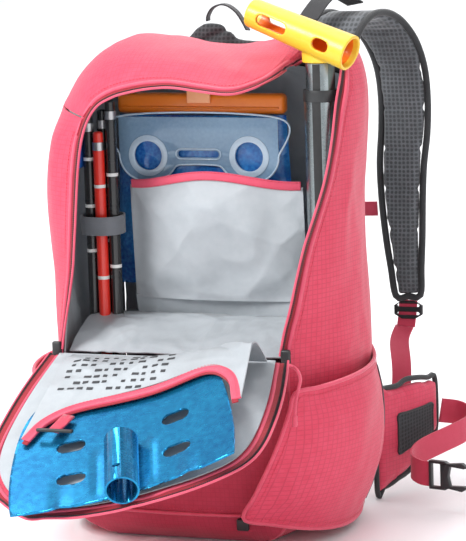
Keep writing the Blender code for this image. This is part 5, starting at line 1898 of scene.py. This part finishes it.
@dataclass
class Blade:
    """Shovel blade: dished sheet, shaft socket, rounded holes and stiffening creases."""

    width: float = 0.215
    depth: float = 0.150
    sheet: float = 0.002
    dish: float = 0.012
    place: Colour = (0.022, 0.213, 0.0155)
    turn: float = math.radians(19)
    roll: float = math.tan(math.radians(8))
    socket_radius: float = 0.0155
    socket_wall: float = 0.0018
    socket_length: float = 0.070
    socket_proud: float = 0.006

    def matrix(self) -> Matrix:
        """Frame of the blade: x across it, y towards the hinge, z up."""
        x_axis = (Vector((1, 0, 0)) * math.cos(self.turn) - ALONG_FLAP * math.sin(self.turn)
                  + ABOVE_FLAP * self.roll).normalized()
        y_axis = -(Vector((1, 0, 0)) * math.sin(self.turn) + ALONG_FLAP * math.cos(self.turn)).normalized()
        made = Matrix((x_axis, y_axis, x_axis.cross(y_axis))).transposed().to_4x4()
        u, w, n = self.place
        hinge = pivot("flap_hinge")
        made.translation = Vector((u, hinge.y, hinge.z)) + ALONG_FLAP * w + ABOVE_FLAP * n
        return made

    def crease(self, x: float, y: float) -> float:
        """Depth of the pressed creases at a place on the blade."""
        pressed = 0.0
        for middle, sign in ((-0.060, 1), (0.060, 1)):
            away = abs(x - middle) / 0.011
            pressed += sign * 0.0022 * max(0.0, 1 - away) * max(0.0, 1 - y / 0.045)
        rib = max(0.0, 1 - abs(abs(x) - 0.026) / 0.006) * eased(y / 0.02) * eased((0.075 - y) / 0.02)
        return pressed + 0.0014 * rib

    def build(self) -> None:
        """Makes the blade in one mesh."""
        frame_of = self.matrix()
        shape = bmesh.new()
        columns, rows = 90, 60

        def surface(a: float, b: float) -> Vector:
            """Point of the blade's lower face."""
            narrow = 1.0 - 0.16 * (1 - b)**2 - 0.10 * (1 - b)**8 - 0.03 * b**6
            x = self.width * (a - 0.5) * narrow
            y = self.depth * (1 - b) + 0.014 * (1 - abs(2 * a - 1)**3) * (1 - b)**2
            return frame_of @ Vector((x, y, self.dish * abs(2 * x / self.width)**2 + self.crease(x, y)))

        grid = [[shape.verts.new(surface(i / columns, j / rows)) for i in range(columns + 1)]
                for j in range(rows + 1)]
        for near, far in zip(grid, grid[1:]):
            for i in range(columns):
                shape.faces.new((near[i], near[i + 1], far[i + 1], far[i]))
        mesh = bpy.data.meshes.new("blade")
        shape.to_mesh(mesh)
        shape.free()
        solid = cooked("blade_wall", mesh, [("SOLIDIFY", {"thickness": self.sheet, "offset": 1.0})])
        along = (frame_of @ Matrix.Translation((0.0, self.socket_length / 2 - self.socket_proud,
                                                self.socket_radius * 0.55))
                 @ Matrix.Rotation(math.radians(90), 4, "X"))
        cuts = [rod(self.socket_radius - self.socket_wall, self.socket_length + 0.008, along)]
        for x, y in ((-0.050, 0.038), (0.050, 0.038), (0.050, 0.084), (-0.050, 0.084)):
            cuts.append(slot_block(0.0135, 0.0075, 0.03, frame_of @ Matrix.Translation((x, y, 0.004))))
        notch = frame_of @ Matrix.Translation((0.0, 0.012, self.socket_radius * 1.55))
        cuts.append(slot_block(0.0036, 0.0022, 0.008, notch))
        mesh = carved("blade", solid, [rod(self.socket_radius, self.socket_length, along)], cuts,
                      [("BEVEL", {"width": 0.0004, "segments": 2, "limit_method": "ANGLE",
                                  "angle_limit": math.radians(40)}), ("WEIGHTED_NORMAL", {"keep_sharp": True})])
        plain(shown("shovel_blade_sheet", map_cloth(mesh, *FRONT_MAP), BLADE_BLUE), "blade",
              "blue_anodised_aluminium", "shovel_blade")


def moulded(node: str, finish: object, body: str, slot: str, edge: float = 0.0006,
            axes: tuple = FRONT_MAP) -> bpy.types.Object:
    """Hard piece in the shape of its node, with its edges rounded.

    Args:
        node: The node it stands for.
        finish: Its finish.
        body: Its body.
        slot: Its material slot in the record.
        edge: Radius of its edges.
        axes: Directions of its map.

    Returns:
        The piece.
    """
    mesh = bpy.data.meshes.new(node)
    shape = welded(node)
    shape.to_mesh(mesh)
    shape.free()
    mesh = cooked(node, mesh, [("BEVEL", {"width": edge, "segments": 3, "limit_method": "ANGLE"})])
    return plain(shown(node + "_moulding", map_cloth(mesh, *axes), finish), body, slot, node)


@dataclass
class PaddedPiece:
    """Foam piece that swells under its cover and is drawn in along sewn channels."""

    node: str
    body: str
    slot: str
    finish: object
    axes: tuple
    channel: Callable[[Vector], float]
    shrink: float = 0.0012
    most: float = 0.004
    voxel: float = 0.0042
    pressure: float = 4.0
    frames: int = 20
    fill: float = 0.6

    def build(self) -> bpy.types.Object:
        """Makes the piece by cloth simulation.

        Returns:
            The piece, settled.
        """
        mesh = refined(self.node, 1)
        displace(mesh, lambda _place, normal: normal * -self.shrink)
        mesh = cooked(self.node, mesh, [("REMESH", {"mode": "VOXEL", "voxel_size": self.voxel})])
        piece = bpy.data.objects.new(self.node + "_pad", mesh)
        bpy.context.scene.collection.objects.link(piece)
        mesh = self.swell(piece)
        bpy.data.objects.remove(piece)
        mesh = cooked(self.node, mesh, [("SMOOTH", {"factor": 0.5, "iterations": 2}),
                                        ("SUBSURF", {"levels": 1, "render_levels": 1})])
        displace(mesh, lambda place, normal: normal * -self.channel(place))
        made = plain(shown(self.node + "_pad", map_cloth(mesh, *self.axes), self.finish), self.body, self.slot,
                     self.node)
        return made

    def swell(self, piece: bpy.types.Object) -> bpy.types.Mesh:
        """Blows the piece up a little, and holds how far any point may move.

        Args:
            piece: The remeshed piece.

        Returns:
            Its swollen mesh.
        """
        start = [v.co.copy() for v in piece.data.vertices]
        change = piece.modifiers.new("Cloth", "CLOTH")
        change.settings.use_pressure = True
        change.settings.uniform_pressure_force = self.pressure
        change.settings.effector_weights.gravity = 0.0
        change.point_cache.frame_start, change.point_cache.frame_end = 1, self.frames
        for number in range(1, self.frames + 1):
            bpy.context.scene.frame_set(number)
        mesh = evaluated(piece)
        for vert, was in zip(mesh.vertices, start):
            away = vert.co - was
            if away.length > self.most:
                vert.co = was + away.normalized() * self.most
        mesh.update()
        return mesh


@dataclass
class BackSystem:
    """Frame sheet, rod, ventilated back pad, lumbar pad and haul loop."""

    channel_depth: float = 0.0030

    def groove(self, away: float, width: float) -> float:
        """Depth of a channel at a distance from its line."""
        return self.channel_depth * (1 - eased(away / width))

    def back_channels(self, place: Vector) -> float:
        """Middle air channel and slanting sewn channels of the back pad."""
        slant = (place.z + 0.45 * abs(place.x) - 0.17) / 0.062
        return max(self.groove(abs(place.x), 0.013), self.groove(abs(slant - round(slant)) * 0.062, 0.005))

    def lumbar_channels(self, place: Vector) -> float:
        """Two upright channels of the lumbar pad."""
        return max(self.groove(abs(abs(place.x) - 0.048), 0.006), self.groove(abs(place.x), 0.009))

    def build(self) -> None:
        """Makes the pads with their bindings, the frame and the loop."""
        moulded("frame_sheet", BLACK_PLASTIC, "pack", "black_plastic", 0.0005)
        rod_line = smooth_line(centreline("frame_rod", 0.002), 0.005)
        plain(BENCH.tube("frame_rod_bent", rod_line, 0.002, STEEL), "pack", "spring_steel", "frame_rod")
        for node, channel in (("back_pad", self.back_channels), ("lumbar_pad", self.lumbar_channels)):
            PaddedPiece(node, "pack", "black_air_mesh", AIR_MESH, FRONT_MAP, channel).build()
        loop = smooth_line(centreline("haul_loop", 0.0018), 0.002)
        plain(ribbon("haul_loop_tape", loop, [Vector((0, 1, 0))], 0.0100, 0.0016, BLACK_WEB, 4), "grab_loop",
              "black_webbing", "haul_loop")


@dataclass
class SidePocket:
    """Bellows side pocket with piped edges, a bound mouth and an elastic strip."""

    side: str
    sign: float

    def build(self) -> None:
        """Makes the pocket."""
        node = f"side_pocket_{self.side}"

        def outward(place: Vector) -> Vector:
            """Way out of the pocket."""
            return Vector((self.sign * 0.8, -0.6 if place.y < -0.05 else -0.1, 0.0)).normalized()

        creases = Wrinkles(node, 0.0060, (17, 17, 8), 0.25, 3.0 + self.sign, 0.45, 0.004, 0.03, outward)
        skin = cloth(node, CORAL_SOFT, "pack", "coral_ripstop", UPRIGHT_MAP, 3, creases.field())
        edge = edge_line(node, 0.0, -0.00125, outward)
        plain(BENCH.tube(node + "_piping", edge, 0.0020, PIPING, True), "pack", "coral_piping")
        seam = edge_line(node, 0.0065, 0.0002, outward, 0.003)
        plain(BENCH.stitches(node + "_stitches", seam, CORAL_THREAD, True), "pack", "coral_ripstop")
        shape = BVHTree.FromPolygons(*faces_of(skin.data))

        def band(a: float, b: float) -> Vector:
            """Point of the dark band, laid on the pocket."""
            spot = Vector((self.sign * 0.3, 0.038 + 0.024 * a, 0.020 + 0.132 * b))
            hit = shape.ray_cast(spot, Vector((-self.sign, 0, 0)))[0]
            return (hit or Vector((self.sign * 0.138, spot.y, spot.z))) + Vector((self.sign * 0.0008, 0, 0))

        strip = grid_sheet(node + "_back_band", band, 8, 44, 0.0006, ELASTIC, (0.024, 0.132), self.sign)
        plain(strip, "pack", "grey_elastic")


@dataclass
class Harness:
    """Shoulder straps, lower webbing, load lifters, sternum strap, hip wings and their buckles."""

    strap_channel: float = 0.0014

    def strap_channels(self, place: Vector) -> float:
        """Cross channels of a shoulder strap."""
        step = place.z / 0.042
        return self.strap_channel * (1 - eased(abs(step - round(step)) * 0.042 / 0.005))

    def build(self) -> None:
        """Makes both sides and the chest strap."""
        for side, sign in (("left", -1.0), ("right", 1.0)):
            self.strap(side)
            self.wing(side, sign)
            self.bend(f"lower_webbing_{side}", CORAL_WEB, "coral_webbing", side, to_buckle=True)
            self.bend(f"load_lifter_{side}", BLACK_WEB, "black_webbing", side, to_buckle=False)
            moulded(f"ladder_buckle_{side}", BLACK_PLASTIC, f"ladder_{side}", "black_plastic")
        cloth("sternum_webbing", CORAL_WEB, "strap_right", "coral_webbing", FRONT_MAP, 2)
        moulded("sternum_buckle", BLACK_PLASTIC, "buckle_sternum", "black_plastic", 0.0007)
        moulded("hip_buckle_male", BLACK_PLASTIC, "buckle_male", "black_plastic", 0.0008)
        moulded("hip_buckle_female", BLACK_PLASTIC, "buckle_female", "black_plastic", 0.0009)

    def strap(self, side: str) -> None:
        """Makes one padded shoulder strap with its bound edge.

        Args:
            side: Which side.
        """
        node = f"shoulder_strap_{side}"
        PaddedPiece(node, f"strap_{side}", "strap_mesh", STRAP_MESH, FRONT_MAP, self.strap_channels,
                    0.0010, 0.003, 0.0036).build()
        self.binding(node, f"strap_{side}", 0.0122, 0.005, 0.0036)

    def binding(self, node: str, body: str, wall: float, half: float, radius: float) -> None:
        """Makes the round binding at the edge of a padded piece.

        Args:
            node: Its node.
            body: Its body.
            wall: Length that tells edges across its thickness.
            half: Half its thickness.
            radius: Radius of the binding.
        """
        ring = rims(node, wall)[0]
        line = smooth_line([p.place - p.normal * half for p in ring], 0.005, True)
        plain(BENCH.tube(node + "_binding", line, radius, BLACK_WEB, True), body, "black_webbing")

    def wing(self, side: str, sign: float) -> None:
        """Makes one hip wing with a mesh window, its webbing and its seams.

        Args:
            side: Which side.
            sign: 1 on the right.
        """
        node, body = f"hip_wing_{side}", f"wing_{side}"
        pad = PaddedPiece(node, body, "coral_ripstop", CORAL_SOFT, UPRIGHT_MAP, lambda _place: 0.0,
                          0.0010, 0.0035, 0.0038).build()
        self.binding(node, body, 0.0122, 0.005, 0.0028)
        shape = BVHTree.FromPolygons(*faces_of(pad.data))
        low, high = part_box(node)
        middle = (low + high) / 2

        def window(a: float, b: float) -> Vector:
            """Point of the mesh window, laid on the wing."""
            y = low.y + 0.026 + 0.052 * a
            z = middle.z - 0.018 + 0.012 * a + (0.040 - 0.010 * a) * b
            hit = shape.ray_cast(Vector((sign * 0.4, y, z)), Vector((-sign, 0, 0)))[0]
            return (hit or Vector((middle.x, y, z))) + Vector((sign * 0.0007, 0, 0))

        panel = grid_sheet(f"wing_window_{side}", window, 26, 20, 0.0006, AIR_MESH, (0.052, 0.040), sign)
        plain(panel, body, "black_air_mesh")
        edge = [window(a, 0.0) for a in (0, 0.25, 0.5, 0.75, 1)] + [window(1.0, b) for b in (0.25, 0.5, 0.75, 1)]
        edge += [window(a, 1.0) for a in (0.75, 0.5, 0.25, 0)] + [window(0.0, b) for b in (0.75, 0.5, 0.25)]
        plain(BENCH.tube(f"wing_window_edge_{side}", smooth_line(edge, 0.003, True), 0.0012, BLACK_WEB, True),
              body, "black_webbing")
        cloth(f"hip_webbing_{side}", CORAL_WEB, body, "coral_webbing", UPRIGHT_MAP, 2)

    def bend(self, node: str, finish: object, slot: str, side: str, to_buckle: bool) -> None:
        """Makes a webbing that bends between the bag and a strap.

        Args:
            node: Its node.
            finish: Its finish.
            slot: Its material slot.
            side: Which side.
            to_buckle: Whether it goes on to the ladder buckle.
        """
        mesh = map_cloth(refined(node, 2), (1, 0, 0), (0, 0.5, 1))
        piece = shown(node + "_tape", mesh, finish)
        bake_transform(piece)
        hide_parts(node)
        if to_buckle:
            buckle = pivot(f"ladder_buckle_{side}_tilt")
            near = sorted((v.co.copy() for v in mesh.vertices), key=lambda p: (p - buckle).length)[:12]
            end = sum(near, Vector()) / len(near)
            line = smooth_line([end, end.lerp(buckle, 0.5) + Vector((0, 0.0015, 0)), buckle], 0.002)
            tail = ribbon(node + "_tail", line, [Vector((1, 0, 0))], 0.0195, 0.0016, finish, 4)
            plain(tail, f"strap_{side}", slot)


@dataclass
class Sliders:
    """Zip sliders and their cord pullers."""

    cord_radius: float = 0.0016

    def build(self) -> None:
        """Makes the sliders and pullers."""
        for side in ("left", "right"):
            moulded(f"zip_slider_{side}", BLACK_PLASTIC, f"slider_{side}", "black_plastic", 0.0014)
            line = smooth_line(centreline(f"zip_puller_{side}", self.cord_radius), 0.001)
            body = f"puller_{side}"
            plain(BENCH.tube(f"puller_cord_{side}", line, self.cord_radius, PIPING), body, "coral_piping",
                  f"zip_puller_{side}")
            end = min((line[0], line[-1]), key=lambda p: p.z)
            profile = [(0.0, -0.010), (0.0020, -0.0098), (0.0027, -0.008), (0.0024, -0.003), (0.0026, -0.0005),
                       (0.0021, 0.0006), (0.0, 0.0006)]
            bead = lathe(f"puller_end_{side}", profile, Matrix.Translation(end), PIPING, 24)
            plain(bead, body, "coral_piping")
        moulded("zip_slider_lower", BLACK_PLASTIC, "pack", "black_plastic", 0.0016)


@dataclass
class Studio:
    """Pale floor, soft lights and the camera."""

    azimuth: float = math.radians(20)
    elevation: float = math.radians(10)
    roll: float = math.radians(2)
    distance: float = 2.8
    target: Colour = (0.0, 0.0, 0.25)
    lens: float = 191.65
    shift: float = 0.0396

    def build(self) -> None:
        """Makes the camera, then the lights and the floor."""
        self.camera()
        for name, spot, size, power in (("key", (-1.5, -2.3, 2.2), 1.1, 105.0), ("fill", (2.2, -1.6, 1.2), 2.4, 12.0),
                                        ("top", (-0.3, 0.3, 2.9), 1.8, 32.0), ("backdrop", (0.2, 4.6, 3.0), 5.0, 130.0)):
            data = bpy.data.lights.new(name, "AREA")
            data.size, data.energy = size, power
            light = bpy.data.objects.new(name, data)
            light.location = spot
            aim = Vector((0.2, 4.2, 0.0)) if name == "backdrop" else Vector(self.target)
            light.rotation_euler = (aim - Vector(spot)).to_track_quat("-Z", "Y").to_euler()
            bpy.context.scene.collection.objects.link(light)
        world = bpy.data.worlds.new("pale room")
        world.use_nodes = True
        world.node_tree.nodes["Background"].inputs["Color"].default_value = (0.97, 0.98, 1.0, 1.0)
        world.node_tree.nodes["Background"].inputs["Strength"].default_value = 0.8
        bpy.context.scene.world = world
        bpy.context.scene.view_settings.view_transform = "Standard"
        floor = grid_sheet("floor", lambda a, b: Vector((12 * a - 6, 12 * b - 6, -0.0005)), 2, 2, 0.002,
                           MouldedFinish("pale floor", (0.88, 0.88, 0.89), (0.90, 0.90, 0.91), 0.7), (12, 12))

    def camera(self) -> None:
        """Places the camera."""
        ahead = Vector((-math.sin(self.azimuth) * math.cos(self.elevation),
                        math.cos(self.azimuth) * math.cos(self.elevation), -math.sin(self.elevation)))
        right = ahead.cross(Vector((0, 0, 1))).normalized()
        up = right.cross(ahead)
        side = right * math.cos(self.roll) - up * math.sin(self.roll)
        over = right * math.sin(self.roll) + up * math.cos(self.roll)
        data = bpy.data.cameras.new("camera")
        data.sensor_width, data.lens, data.shift_x = 36.0, self.lens, self.shift
        camera = bpy.data.objects.new("camera", data)
        place = Matrix((side, over, -ahead)).transposed().to_4x4()
        place.translation = Vector(self.target) - ahead * self.distance
        camera.matrix_world = place
        bpy.context.scene.collection.objects.link(camera)
        bpy.context.scene.camera = camera


def main() -> None:
    """Builds the studio and every sub-assembly."""
    logging.basicConfig(level=logging.INFO, format="%(message)s")
    Studio().build()
    for part in (BagShell(), Interior(), Reservoir(), Probe(), ShovelShaft(), Flap(), Blade(), BackSystem(),
                 SidePocket("left", -1.0), SidePocket("right", 1.0), Harness(), Sliders()):
        LOG.info("%s", type(part).__name__)
        part.build()
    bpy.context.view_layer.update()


if __name__ == "__main__":
    main()
